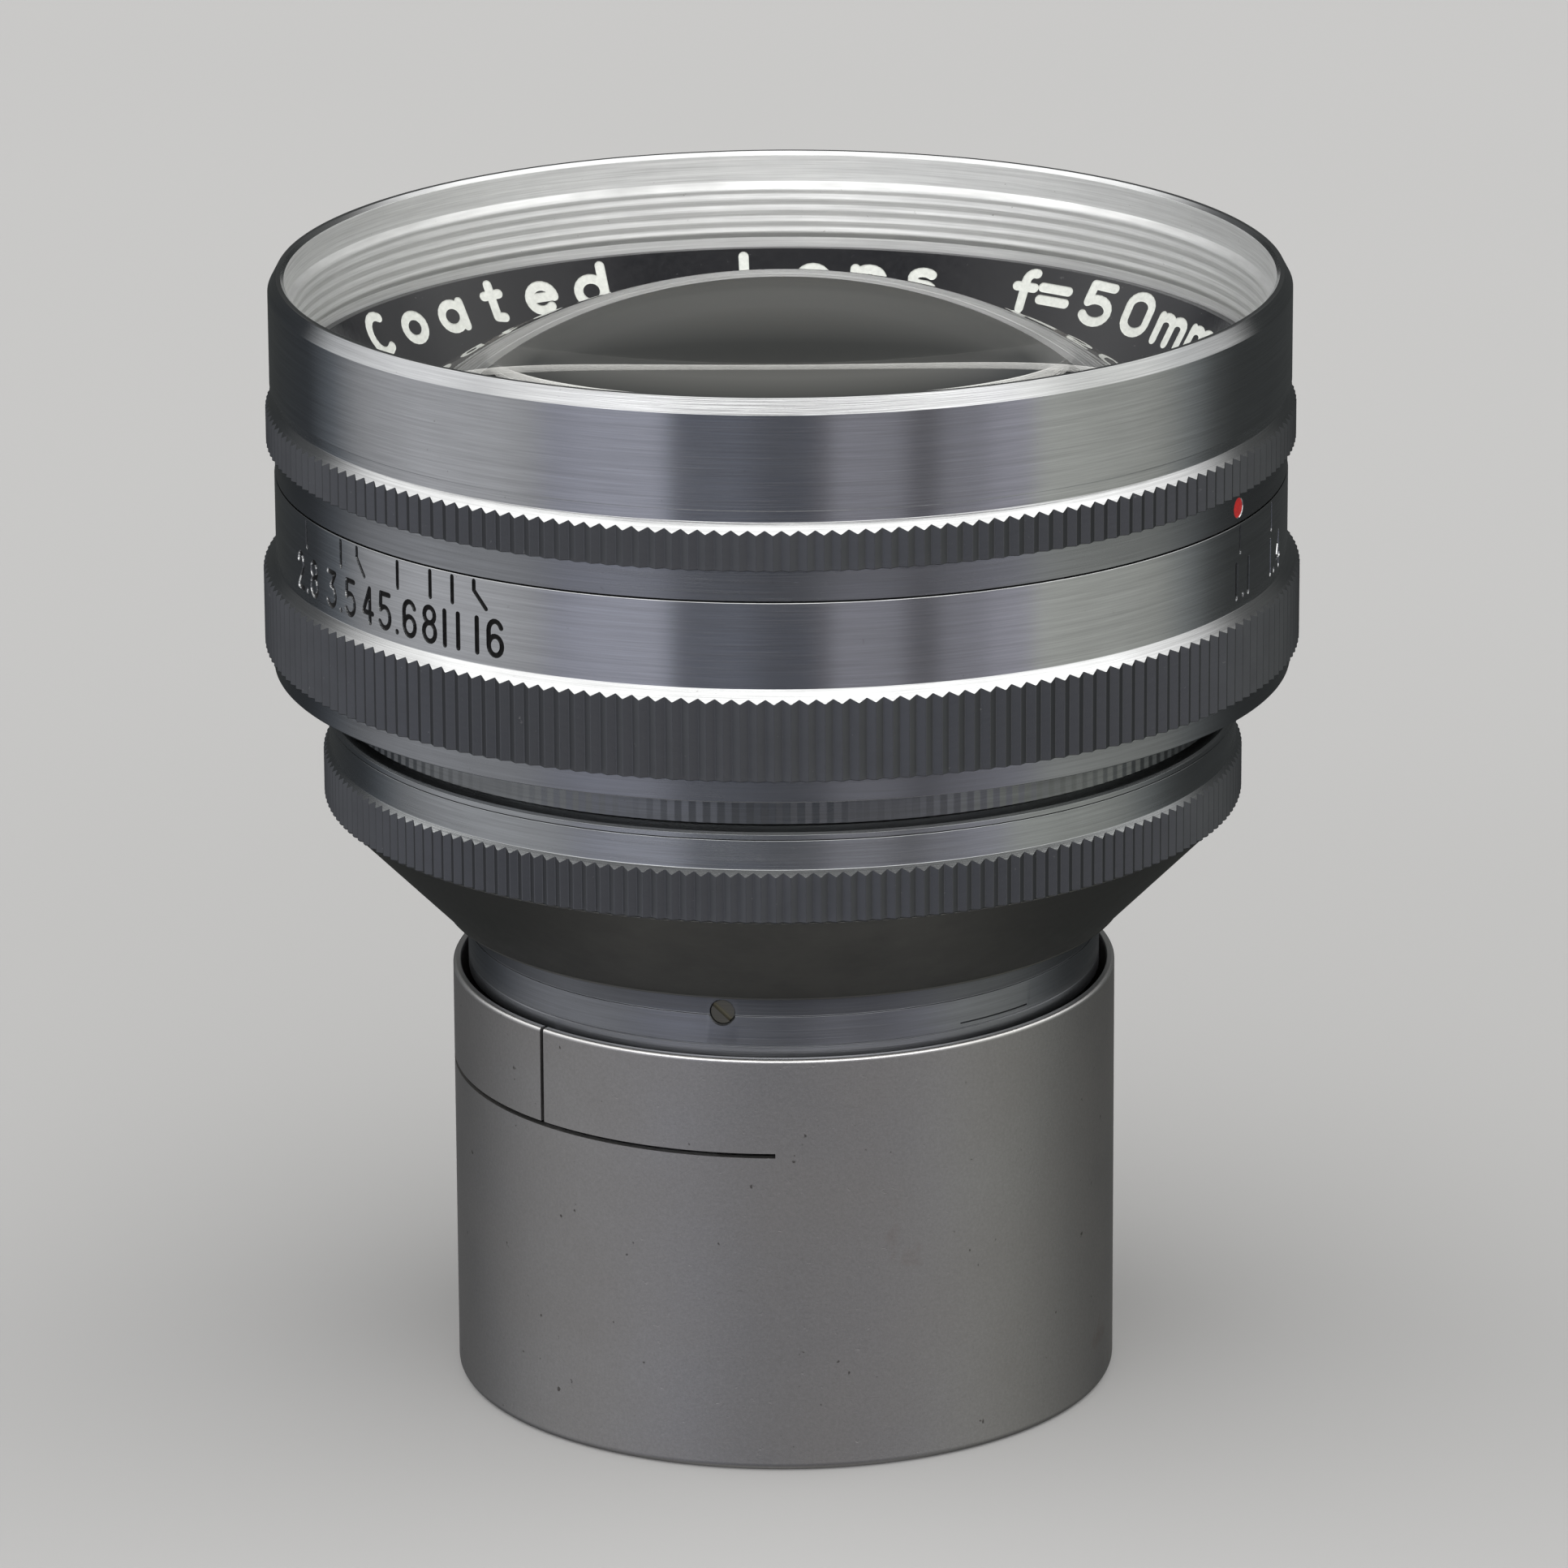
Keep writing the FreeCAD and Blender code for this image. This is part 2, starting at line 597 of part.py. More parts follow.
def name_ring():
    """Steep black funnel between the rim and the front glass, which it holds in its cell."""
    return turned([
        (NAME_INNER_RADIUS, NAME_SEAT_Z),
        (BARREL_BORE - SEATING, NAME_SEAT_Z),
        (BARREL_BORE - SEATING, BARREL_TOP_Z + SEATING),
        (NAME_RADIUS, BARREL_TOP_Z + SEATING),
        (NAME_RADIUS, NAME_OUTER_Z),
        (NAME_OUTER_RADIUS, NAME_OUTER_Z),
        (NAME_INNER_RADIUS, NAME_INNER_Z),
    ])


# ---------------------------------------------------------------- aperture ring

def aperture_ring():
    """Turning ring: smooth band, knurl, and the number band up to the fixed index ring."""
    bore = BARREL_RADIUS + RUNNING
    lip_bore = BARREL_BORE + RUNNING
    blank = turned([
        (lip_bore, APERTURE_LOW_Z),
        (APERTURE_BAND_RADIUS - EDGE, APERTURE_LOW_Z),
        (APERTURE_BAND_RADIUS, APERTURE_LOW_Z + EDGE),
        (APERTURE_BAND_RADIUS, APERTURE_KNURL_LOW_Z),
        (APERTURE_KNURL_TIP + KNURL_OVERLAP, APERTURE_KNURL_LOW_Z),
        (APERTURE_KNURL_TIP + KNURL_OVERLAP, APERTURE_KNURL_TOP_Z - KNURL_OVERLAP),
        (SCALE_RADIUS, SCALE_LOW_Z),
        (SCALE_RADIUS, SCALE_TOP_Z - FINE_EDGE),
        (SCALE_RADIUS - FINE_EDGE, SCALE_TOP_Z),
        (bore, SCALE_TOP_Z),
        (bore, BARREL_SHOULDER_Z - RUNNING),
        (lip_bore, BARREL_SHOULDER_Z - RUNNING),
    ])
    toothed = knurled(blank, APERTURE_KNURL_TIP, APERTURE_KNURL_ROOT)
    shank = radial_rod(
        DRIVE_SCREW_RADIUS + SEATING, bore - PAST, APERTURE_KNURL_TIP + PAST,
        DRIVE_SCREW_AZIMUTH, DRIVE_SCREW_Z,
    )
    head = radial_rod(
        DRIVE_SCREW_HEAD_RADIUS + SEATING, DRIVE_SCREW_HEAD_REACH - SEATING,
        APERTURE_KNURL_TIP + PAST, DRIVE_SCREW_AZIMUTH, DRIVE_SCREW_Z,
    )
    return toothed.cut([shank, head])


def drive_screw():
    """Stepped radial screw with a slotted head."""
    lengths = [
        (DRIVE_SCREW_TIP_RADIUS, DRIVE_SCREW_TIP_REACH, SCROLL_RADIUS + RUNNING),
        (DRIVE_SCREW_RADIUS, SCROLL_RADIUS + RUNNING, DRIVE_SCREW_HEAD_REACH),
        (DRIVE_SCREW_HEAD_RADIUS, DRIVE_SCREW_HEAD_REACH, DRIVE_SCREW_END_REACH),
    ]
    tip, shank, head = [
        radial_rod(radius, start, end, DRIVE_SCREW_AZIMUTH, DRIVE_SCREW_Z)
        for radius, start, end in lengths
    ]
    slot = driver_slot(
        DRIVE_SCREW_AZIMUTH, DRIVE_SCREW_Z, DRIVE_SCREW_END_REACH, DRIVE_SCREW_HEAD_RADIUS,
        DRIVE_SCREW_SLOT_LEAN,
    )
    return tip.fuse([shank, head]).removeSplitter().cut(slot)


# ---------------------------------------------------------------- iris

def blade_tail_offset():
    """Vector from a blade's pivot to its drive stud with the iris open."""
    return polar(BLADE_PIVOT_RADIUS, -BLADE_TAIL_ANGLE) - polar(BLADE_PIVOT_RADIUS, 0)


def groove_point(share, offset):
    """Point of a scroll groove at a share of the travel, offset sideways from its centreline."""
    arm = blade_tail_offset()
    swing = math.radians(BLADE_SWING * share)
    moved = Vector(
        arm.x * math.cos(swing) - arm.y * math.sin(swing),
        arm.x * math.sin(swing) + arm.y * math.cos(swing),
        0,
    )
    stud = polar(BLADE_PIVOT_RADIUS, 0) + moved
    radius = stud.Length + offset
    angle = math.degrees(math.atan2(stud.y, stud.x)) + APERTURE_TRAVEL * share
    return polar(radius, angle, SCROLL_LOW_Z)


def scroll_groove():
    """Solid that cuts one spiral groove, which a blade's drive stud follows."""
    shares = [step / SCROLL_GROOVE_STEPS for step in range(SCROLL_GROOVE_STEPS + 1)]
    sides = []
    for offset in (-SCROLL_GROOVE_HALF_WIDTH, SCROLL_GROOVE_HALF_WIDTH):
        side = Part.BSplineCurve()
        side.interpolate([groove_point(share, offset) for share in shares])
        sides.append(side.toShape())
    caps = []
    for share, lead in ((0.0, -1), (1.0, 1)):
        inner = groove_point(share, -SCROLL_GROOVE_HALF_WIDTH)
        outer = groove_point(share, SCROLL_GROOVE_HALF_WIDTH)
        middle = (inner + outer) * 0.5
        along = Vector(-middle.y, middle.x, 0).normalize() * (lead * SCROLL_GROOVE_HALF_WIDTH)
        caps.append(Part.Arc(inner, middle + along, outer).toShape())
    outline = Part.Wire(Part.__sortEdges__([*sides, *caps]))
    cutter = Part.Face(outline).extrude(AXIS * (SCROLL_GROOVE_Z - SCROLL_LOW_Z + PAST))
    cutter.translate(AXIS * -PAST)
    return cutter


def scroll_ring():
    """Ring over the blades, with one spiral groove below for each blade's drive stud."""
    body = ring(SCROLL_RADIUS, SCROLL_BORE, SCROLL_LOW_Z, SCROLL_TOP_Z)
    hole = radial_rod(
        DRIVE_SCREW_TIP_RADIUS + DRIVE_SCREW_TIP_CLEARANCE, DRIVE_SCREW_TIP_REACH - SEATING,
        SCROLL_RADIUS + PAST, DRIVE_SCREW_AZIMUTH, DRIVE_SCREW_Z,
    )
    return body.cut([*around(scroll_groove(), BLADE_COUNT), hole])


def scroll_retainer():
    """Thin ring that keeps the scroll ring from rising."""
    return ring(
        BARREL_BORE - SEATING, SCROLL_RETAINER_BORE, SCROLL_TOP_Z + RUNNING,
        FRONT_CELL_FLANGE_Z - SEATING,
    )


def iris_base_ring():
    """Fixed ring with one pivot hole for each blade."""
    body = ring(IRIS_BASE_RADIUS, IRIS_BASE_BORE, IRIS_BASE_LOW_Z, IRIS_BASE_TOP_Z)
    depth = IRIS_BASE_TOP_Z - PIVOT_STUD_Z + RUNNING
    hole = Part.makeCylinder(
        PIVOT_HOLE_RADIUS, depth + PAST, polar(BLADE_PIVOT_RADIUS, 0, IRIS_BASE_TOP_Z - depth),
    )
    return body.cut(around(hole, BLADE_COUNT))


def iris_baffle():
    """Black plate whose bore is the widest opening."""
    outer = FRONT_CELL_NOSE_RADIUS - EDGE
    return ring(outer, IRIS_BAFFLE_BORE, IRIS_BAFFLE_LOW_Z, IRIS_BAFFLE_TOP_Z)


def iris_blade(number):
    """Thin crescent with a pivot stud below one end and a drive stud above its tail."""
    low = BLADE_LOW_Z + number * BLADE_PITCH
    top = low + BLADE_THICKNESS
    middle = (BLADE_INNER_RADIUS + BLADE_OUTER_RADIUS) / 2
    end_radius = (BLADE_OUTER_RADIUS - BLADE_INNER_RADIUS) / 2
    pivot = polar(BLADE_PIVOT_RADIUS, 0, low)
    reach = blade_tail_offset()
    tail = pivot + reach
    crescent = sector(BLADE_OUTER_RADIUS, BLADE_INNER_RADIUS, low, top, 0, BLADE_SPAN)
    ends = [
        Part.makeCylinder(end_radius, BLADE_THICKNESS, polar(middle, angle, low))
        for angle in (0, BLADE_SPAN)
    ]
    arm = Part.makeBox(
        BLADE_PIVOT_RADIUS - middle, 2 * BLADE_EYE_RADIUS, BLADE_THICKNESS,
        Vector(middle, -BLADE_EYE_RADIUS, low),
    )
    eye = Part.makeCylinder(BLADE_EYE_RADIUS, BLADE_THICKNESS, pivot)
    corner = Vector(0, -BLADE_TAIL_HALF_WIDTH, 0)
    bar = Part.makeBox(reach.Length, 2 * BLADE_TAIL_HALF_WIDTH, BLADE_THICKNESS, corner)
    bar.rotate(ORIGIN, AXIS, math.degrees(math.atan2(reach.y, reach.x)))
    bar.translate(pivot)
    tail_end = Part.makeCylinder(BLADE_TAIL_HALF_WIDTH, BLADE_THICKNESS, tail)
    pivot_foot = polar(BLADE_PIVOT_RADIUS, 0, PIVOT_STUD_Z)
    pivot_stud = Part.makeCylinder(STUD_RADIUS, top - PIVOT_STUD_Z, pivot_foot)
    drive_stud = Part.makeCylinder(STUD_RADIUS, DRIVE_STUD_Z - low, tail)
    blade = crescent.fuse([*ends, arm, eye, bar, tail_end, pivot_stud, drive_stud]).removeSplitter()
    return turned_by(blade, 360.0 * number / BLADE_COUNT)


# ---------------------------------------------------------------- cells and glass

def front_cell():
    """Stepped tube that holds the front glass and the front cemented pair."""
    small_bore = GLASS["glass_2_front_positive"][2] + SEATING
    large_bore = GLASS["glass_1_front_dome"][2] + SEATING
    seat = height_below("glass_1_front_dome", small_bore, large_bore)
    stop_top = FRONT_CELL_LOW_Z + FRONT_CELL_STOP_THICKNESS
    return turned([
        (FRONT_CELL_STOP_BORE, FRONT_CELL_LOW_Z),
        (FRONT_CELL_NOSE_RADIUS, FRONT_CELL_LOW_Z),
        (FRONT_CELL_NOSE_RADIUS, FRONT_CELL_FLANGE_Z),
        (BARREL_BORE - SEATING, FRONT_CELL_FLANGE_Z),
        (BARREL_BORE - SEATING, NAME_SEAT_Z - SEATING),
        (large_bore, NAME_SEAT_Z - SEATING),
        (large_bore, seat),
        (small_bore, seat),
        (small_bore, stop_top),
        (FRONT_CELL_STOP_BORE, stop_top),
    ])


def rear_cell():
    """Stepped tube that holds the five rear elements, each seated on its own step."""
    seated = [
        "glass_9_rear_positive", "glass_8_rear_doublet_back",
        "glass_6_relay_positive", "glass_5_rear_positive",
    ]
    bore = REAR_CELL_STOP_BORE
    inside = [(bore, REAR_CELL_LOW_Z)]
    for name in seated:
        wider = GLASS[name][2] + SEATING
        step = height_below(name, bore, wider)
        inside += [(bore, step), (wider, step)]
        bore = wider
    outside = [
        (bore, REAR_CELL_TOP_Z),
        (REAR_CELL_RADIUS, REAR_CELL_TOP_Z),
        (REAR_CELL_RADIUS, REAR_CELL_LOW_Z),
    ]
    return turned(inside + outside)


def rear_cell_ring():
    """Slotted ring that holds the rear group in its cell."""
    outer = GLASS["glass_4_rear_negative"][2]
    inner = outer - REAR_CELL_RING_WIDTH
    low = height_above("glass_4_rear_negative", inner, outer)
    high = REAR_CELL_TOP_Z - SEATING
    return ring(outer, inner, low, high).cut(spanner_notches(outer, inner, high))


def rear_lock_ring():
    """Slotted ring that locks the rear cell in the rear barrel."""
    inner = REAR_CELL_RADIUS + SEATING
    body = ring(REAR_BARREL_RADIUS, inner, REAR_LOCK_RING_Z, REAR_BARREL_LOW_Z - SEATING)
    return body.cut(spanner_notches(REAR_BARREL_RADIUS, inner, REAR_LOCK_RING_Z))


def spacer(below, above):
    """Black ring that keeps two elements apart."""
    outer = min(GLASS[below][2], GLASS[above][2]) - SEATING
    inner = outer - SPACER_WIDTH
    return ring(outer, inner, height_above(below, inner, outer), height_below(above, inner, outer))


def glass_element(name):
    """Lens element turned from its two spherical surfaces."""
    front, rear, edge_radius = GLASS[name]
    front_rim_point = Vector(edge_radius, 0, surface_height(front, edge_radius))
    rear_rim_point = Vector(edge_radius, 0, surface_height(rear, edge_radius))
    edges = [
        *surface_edges(front, edge_radius),
        *surface_edges(rear, edge_radius),
        Part.LineSegment(front_rim_point, rear_rim_point).toShape(),
        Part.LineSegment(Vector(0, 0, front[0]), Vector(0, 0, rear[0])).toShape(),
    ]
    outline = Part.Wire(Part.__sortEdges__(edges))
    return Part.Face(outline).revolve(ORIGIN, AXIS, 360)


# ---------------------------------------------------------------- write the pieces

def pieces():
    """Every piece by name."""
    made = {
        "rear_cap": rear_cap(),
        "bayonet_ring": bayonet_ring(),
        "bayonet_collar": bayonet_collar(),
        "collar_screws": collar_screws(),
        "mount_cone": mount_cone(),
        "rear_barrel": rear_barrel(),
        "mount_shim": mount_shim(),
        "rear_knurled_ring": rear_knurled_ring(),
        "lip_ring": lip_ring(),
        "neck_ring": neck_ring(),
        "main_barrel": main_barrel(),
        "index_ring": index_ring(),
        "index_dots": index_dots(),
        "front_rim": front_rim(),
        "name_ring": name_ring(),
        "front_cell": front_cell(),
        "rear_cell": rear_cell(),
        "rear_cell_ring": rear_cell_ring(),
        "rear_lock_ring": rear_lock_ring(),
        "front_spacer": spacer("glass_2_front_positive", "glass_1_front_dome"),
        "rear_spacer_1": spacer("glass_6_relay_positive", "glass_5_rear_positive"),
        "rear_spacer_2": spacer("glass_7_rear_doublet_front", "glass_6_relay_positive"),
        "rear_spacer_3": spacer("glass_9_rear_positive", "glass_8_rear_doublet_back"),
        "iris_base_ring": iris_base_ring(),
        "iris_baffle": iris_baffle(),
        "scroll_retainer": scroll_retainer(),
        "aperture_ring": aperture_ring(),
        "drive_screw": drive_screw(),
        "scroll_ring": scroll_ring(),
    }
    for name in GLASS:
        made[name] = glass_element(name)
    for number in range(BLADE_COUNT):
        made[f"iris_blade_{number + 1:02d}"] = iris_blade(number)
    return made


os.makedirs("parts", exist_ok=True)
for node, shape in pieces().items():
    shape.exportStep(f"parts/{node}.step")
    print(f"{node:28s} valid {shape.isValid()}  solids {len(shape.Solids)}  {shape.Volume:10.3f} mm3")
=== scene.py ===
"""Looks of a fast standard camera lens that stands in its metal rear cap.

The turned pieces are built again as fine meshes on top of the CAD frame: each is its outline,
turned about Z, with exact normals. Outlines are in millimetres, azimuths in degrees from the side
that faces -Y, growing towards +X. Hidden pieces keep their CAD meshes and get new materials.
"""
import json
import math

import bpy
import numpy as np
from mathutils import Matrix, Vector
from mathutils.geometry import delaunay_2d_cdt


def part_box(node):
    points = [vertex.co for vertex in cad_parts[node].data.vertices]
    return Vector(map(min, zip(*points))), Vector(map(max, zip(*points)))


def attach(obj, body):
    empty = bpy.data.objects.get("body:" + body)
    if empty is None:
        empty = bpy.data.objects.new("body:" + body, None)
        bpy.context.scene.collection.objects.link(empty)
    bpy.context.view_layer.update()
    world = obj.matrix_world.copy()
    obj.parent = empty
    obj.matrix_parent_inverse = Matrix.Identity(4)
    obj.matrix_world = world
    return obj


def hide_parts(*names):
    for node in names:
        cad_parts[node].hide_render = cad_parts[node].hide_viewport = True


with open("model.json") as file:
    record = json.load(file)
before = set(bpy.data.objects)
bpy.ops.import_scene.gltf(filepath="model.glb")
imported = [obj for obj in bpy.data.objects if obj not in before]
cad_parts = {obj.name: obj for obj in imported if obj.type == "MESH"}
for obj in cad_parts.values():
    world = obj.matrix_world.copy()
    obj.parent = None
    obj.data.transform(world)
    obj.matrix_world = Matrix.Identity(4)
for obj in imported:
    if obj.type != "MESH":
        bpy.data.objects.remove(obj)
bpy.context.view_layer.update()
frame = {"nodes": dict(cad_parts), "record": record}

MM = 0.001

# ------------ driving sizes, millimetres

KNURL_TEETH = 200
KNURL_FOOT = 0.05           # broken edge at the foot of the teeth
KNURL_ROUND = 0.045         # half width of the rounding on tooth tips and roots
PLAIN_COLUMNS = 720
STRIP_ROW_GAP = 0.9         # spacing of the plain points inside an engraved strip
STRIP_COLUMN_GAP = 0.55
STRIP_CLEARANCE = 1.35      # half widths of a stroke that the plain points keep away from it
MERGE_DISTANCE = 5e-5
ARC_STEP = 18.0             # degrees of turn between the points of a fillet or a curved stroke
SOFT_ANGLE = 24.0           # degrees below which two faces of a cut piece shade as one
TOOTH_PAINT = 1             # numbers of a knurled ring's materials; 0 is its plain metal
DULL_SHADE_PAINT = 2
ENGRAVED_PAINT = 3

# Turned pieces. Two values together are a radius and a height.
APERTURE_BORE = 28.58
APERTURE_RECESS = (30.28, 48.22)
APERTURE_SKIRT = 32.3
APERTURE_ROOT = 32.58
APERTURE_FOOT_Z = 49.05
APERTURE_BEVEL = (32.92, 53.92)
APERTURE_BAND = (32.05, 54.69)
INDEX_BORE = 30.25
INDEX_RECESS = (31.0, 61.95)
INDEX_BAND = 32.0
INDEX_ROOT = 32.28
INDEX_FOOT_Z = 62.18
INDEX_BEVEL = (32.6, 64.4)
INDEX_COLLAR = (31.9, 65.1)
REAR_BORE = 26.5
REAR_TIP = 29.3
REAR_ROOT = 29.04
REAR_BEVEL = (29.35, 41.81)
REAR_BAND = (28.9, 42.26)
NECK_GROOVE = (27.3, 45.0)
NECK_FLUTE = 0.035
LIP_BEVEL = 0.15
CONE_BORE = 18.75
CONE_FOOT = (21.8, 31.62)
CONE_TOP_Z = 38.85
CONE_SPIGOT = 26.4
CONE_INSIDE_TOP = (25.1, 38.3)
CONE_INSIDE_LOW_Z = 33.4
RIM_BORE = 31.0
RIM_BEVEL_Z = 71.86
RIM_LIP = (31.75, 31.45)    # outer and inner radius of the flat on the lip
RIM_MOUTH = 31.2
RIM_MOUTH_Z = (72.55, 70.8)
THREAD_TURNS = 5
THREAD_PITCH = 0.75
THREAD_FIRST_Z = 70.425
THREAD_CREST = 30.775
THREAD_ROOT = 30.83
NAME_BORE = 27.8
NAME_SEAT = (28.45, 62.0)
NAME_OUTER = 30.5
NAME_INNER_Z = 61.9
NAME_UNROLLED = 29.4
CAP_BORE = 20.75
CAP_SHOULDER = (19.6, 20.3)
CAP_FLOOR = 1.2
CAP_SLIT_Z = (20.9, 21.2)
CAP_SLIT_AZIMUTHS = (-45.9, 134.1)
CAP_SLIT_HALF_SPAN = 44.3
CAP_SLIT_WIDTH = 0.3
COLLAR_BORE = 18.7
COLLAR_SEAM_Z = 27.95
COLLAR_SEAM_DEPTH = 0.06
COLLAR_BAND_Z = 29.87
COLLAR_BAND_STEP = 0.08
COLLAR_SLOT_Z = (28.26, 28.36)
COLLAR_SCREW_AZIMUTHS = (-11.0, 109.0, 229.0)
COLLAR_SCREW_Z = 30.06
COLLAR_SCREW_HOLE = 0.8
COLLAR_SCREW_MOUTH = 0.86
DOT_AZIMUTHS = (61.95, 241.95)
DOT_UP = 0.96               # height of the dots' middle above the band's lower edge
DOT_RADIUS = 0.63
DOME_FACES = (42.0, 90.0)   # radii of curvature of the front glass's front and rear faces
DOME_REAR_Z = 62.8
GROUND_RADIUS = 24.4        # outside it the front glass's rear face is ground

SCALE_STOPS = {
    "1.1": (62.3, 63.0, 0.0),
    "1.4": (72.4, 74.2, 0.0),
    "2": (91.0, 91.0, 0.0),
    "2.8": (113.1, 113.1, 0.0),
    "3.5": (122.0, 121.8, 0.0),
    "4": (125.4, 127.4, 1.4),
    "5.6": (132.8, 132.6, 0.0),
    "8": (138.0, 137.8, 0.0),
    "11": (141.25, 141.04, 0.0),
    "16": (144.3, 146.1, 1.6),
}
"""Azimuth of each stop's tick, azimuth of its number's middle, and how far the tick's foot bends."""
SCALE_REPEAT = -180.0
NUMBER_WIDTH = 1.31
NUMBER_BEARING = 0.2        # room that a 1 takes on each side
NUMBER_HEIGHT = 2.5
NUMBER_LOW = 0.56           # height of the numbers' feet above the band's lower edge
NUMBER_STROKE = 0.34
NUMBER_GAP = 0.34
NUMBER_DEPTH = 0.11
TICK_TOP = 5.2
TICK_BEND = 4.61
TICK_FOOT = 3.57
TICK_STROKE = 0.29

LETTER_WIDTH = 2.7
LETTER_HEIGHT = 3.15
LETTER_TOP = 0.2
LETTER_STROKE = 0.66
LETTER_DEPTH = 0.05
LETTER_PITCH = 7.2          # degrees from one letter's middle to the next
THIN_LETTER_SHARE = 0.6     # of that pitch, after a thin letter
NAME_WORDS = {"Coated": 241.0, "Lens": 183.0, "f=50mm": 147.0, "1:1.1": 62.0}
"""Azimuth of each word's first letter on the name ring; the words read towards smaller azimuths."""

MARKS_LEAN = 0.7            # height that a turning mark climbs for each unit outwards

# Metres, as in the materials: above them the metal is painted bright, a painted highlight.
CAP_HIGHLIGHT_Z = 0.0273
SPACER_HIGHLIGHT_Z = 0.0606


def extent(node):
    """Lowest height, highest height and outer radius of a CAD node, in millimetres."""
    low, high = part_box(node)
    return low.z / MM, high.z / MM, high.x / MM


def table(*columns):
    """Array whose columns are given."""
    return np.stack(columns, axis=-1)


def swung(radius, turn, height):
    """Points or directions in the XZ plane, swung about Z by turns in radians."""
    return table(radius * np.cos(turn), radius * np.sin(turn), height + 0 * turn)


# ------------ stroke lettering

def line(*points):
    """Straight stroke through points."""
    return np.array(points, float)


def arc(x, y, across, up, start, end):
    """Elliptical stroke from one angle to another, in degrees."""
    count = max(3, int(abs(end - start) / ARC_STEP) + 1)
    turn = np.radians(np.linspace(start, end, count))
    return table(x + across * np.cos(turn), y + up * np.sin(turn))


GLYPHS = {
    "0": (1.0, [arc(0.5, 0.7, 0.5, 0.3, 0, 180), line((0, 0.7), (0, 0.3)),
                arc(0.5, 0.3, 0.5, 0.3, 180, 360), line((1, 0.3), (1, 0.7))]),
    "1": (0.0, [line((0, 0), (0, 1))]),
    "2": (1.0, [arc(0.5, 0.72, 0.5, 0.28, 165, -38), line((0.9, 0.55), (0, 0)), line((0, 0), (1, 0))]),
    "3": (1.0, [line((0.05, 1), (1, 1)), line((1, 1), (0.42, 0.6)), arc(0.42, 0.3, 0.58, 0.3, 90, -150)]),
    "4": (1.0, [line((0.72, 0), (0.72, 1)), line((0.72, 1), (0, 0.28)), line((0, 0.28), (1, 0.28))]),
    "5": (1.0, [line((0.95, 1), (0.12, 1)), line((0.12, 1), (0.06, 0.56)),
                arc(0.46, 0.31, 0.54, 0.31, 138, -150)]),
    "6": (1.0, [arc(0.5, 0.28, 0.5, 0.28, 0, 360), line((0, 0.28), (0, 0.7)),
                arc(0.5, 0.7, 0.5, 0.3, 180, 25)]),
    "8": (1.0, [arc(0.5, 0.77, 0.44, 0.23, 0, 360), arc(0.5, 0.27, 0.5, 0.27, 0, 360)]),
    ".": (0.0, [line((0, 0), (0, 0.01))]),
    ":": (0.0, [line((0, 0.1), (0, 0.11)), line((0, 0.6), (0, 0.61))]),
    "=": (1.0, [line((0, 0.32), (1, 0.32)), line((0, 0.66), (1, 0.66))]),
    "C": (1.0, [arc(0.55, 0.5, 0.5, 0.5, 55, 305)]),
    "L": (0.8, [line((0, 1), (0, 0)), line((0, 0), (1, 0))]),
    "a": (0.9, [arc(0.5, 0.34, 0.5, 0.34, 0, 360), line((1, 0.68), (1, 0))]),
    "d": (0.9, [arc(0.5, 0.34, 0.5, 0.34, 0, 360), line((1, 1), (1, 0))]),
    "e": (0.9, [line((0, 0.36), (1, 0.36)), arc(0.5, 0.34, 0.5, 0.34, 0, 310)]),
    "f": (0.7, [arc(0.8, 0.76, 0.4, 0.24, 80, 180), line((0.4, 0.76), (0.4, 0)),
                line((0, 0.6), (0.9, 0.6))]),
    "m": (1.3, [line((0, 0.68), (0, 0)), arc(0.25, 0.48, 0.25, 0.2, 180, 0), line((0.5, 0.48), (0.5, 0)),
                arc(0.75, 0.48, 0.25, 0.2, 180, 0), line((1, 0.48), (1, 0))]),
    "n": (0.9, [line((0, 0.68), (0, 0)), arc(0.5, 0.4, 0.5, 0.28, 180, 0), line((1, 0.4), (1, 0))]),
    "o": (0.9, [arc(0.5, 0.34, 0.5, 0.34, 0, 360)]),
    "s": (0.8, [arc(0.5, 0.51, 0.45, 0.17, 40, 270), arc(0.5, 0.17, 0.45, 0.17, 90, -140)]),
    "t": (0.6, [line((0.45, 0.95), (0.45, 0.05)), line((0.45, 0.05), (0.9, 0)),
                line((0, 0.66), (0.95, 0.66))]),
}
"""Width of each character's centreline, in its usual width, and the strokes that draw it."""


def glyph_strokes(character, middle, foot, width, height, stroke, mirror=1.0):
    """Strokes of one character, centred on middle and standing on foot; mirror -1 turns it over."""
    share, strokes = GLYPHS[character]
    inner_width = share * (width - stroke)
    inner_height = height - stroke
    placed = []
    for points in strokes:
        x = middle + mirror * (points[:, 0] - 0.5) * inner_width
        y = foot + mirror * (stroke / 2 + points[:, 1] * inner_height)
        placed.append((table(x, y), stroke / 2))
    return placed


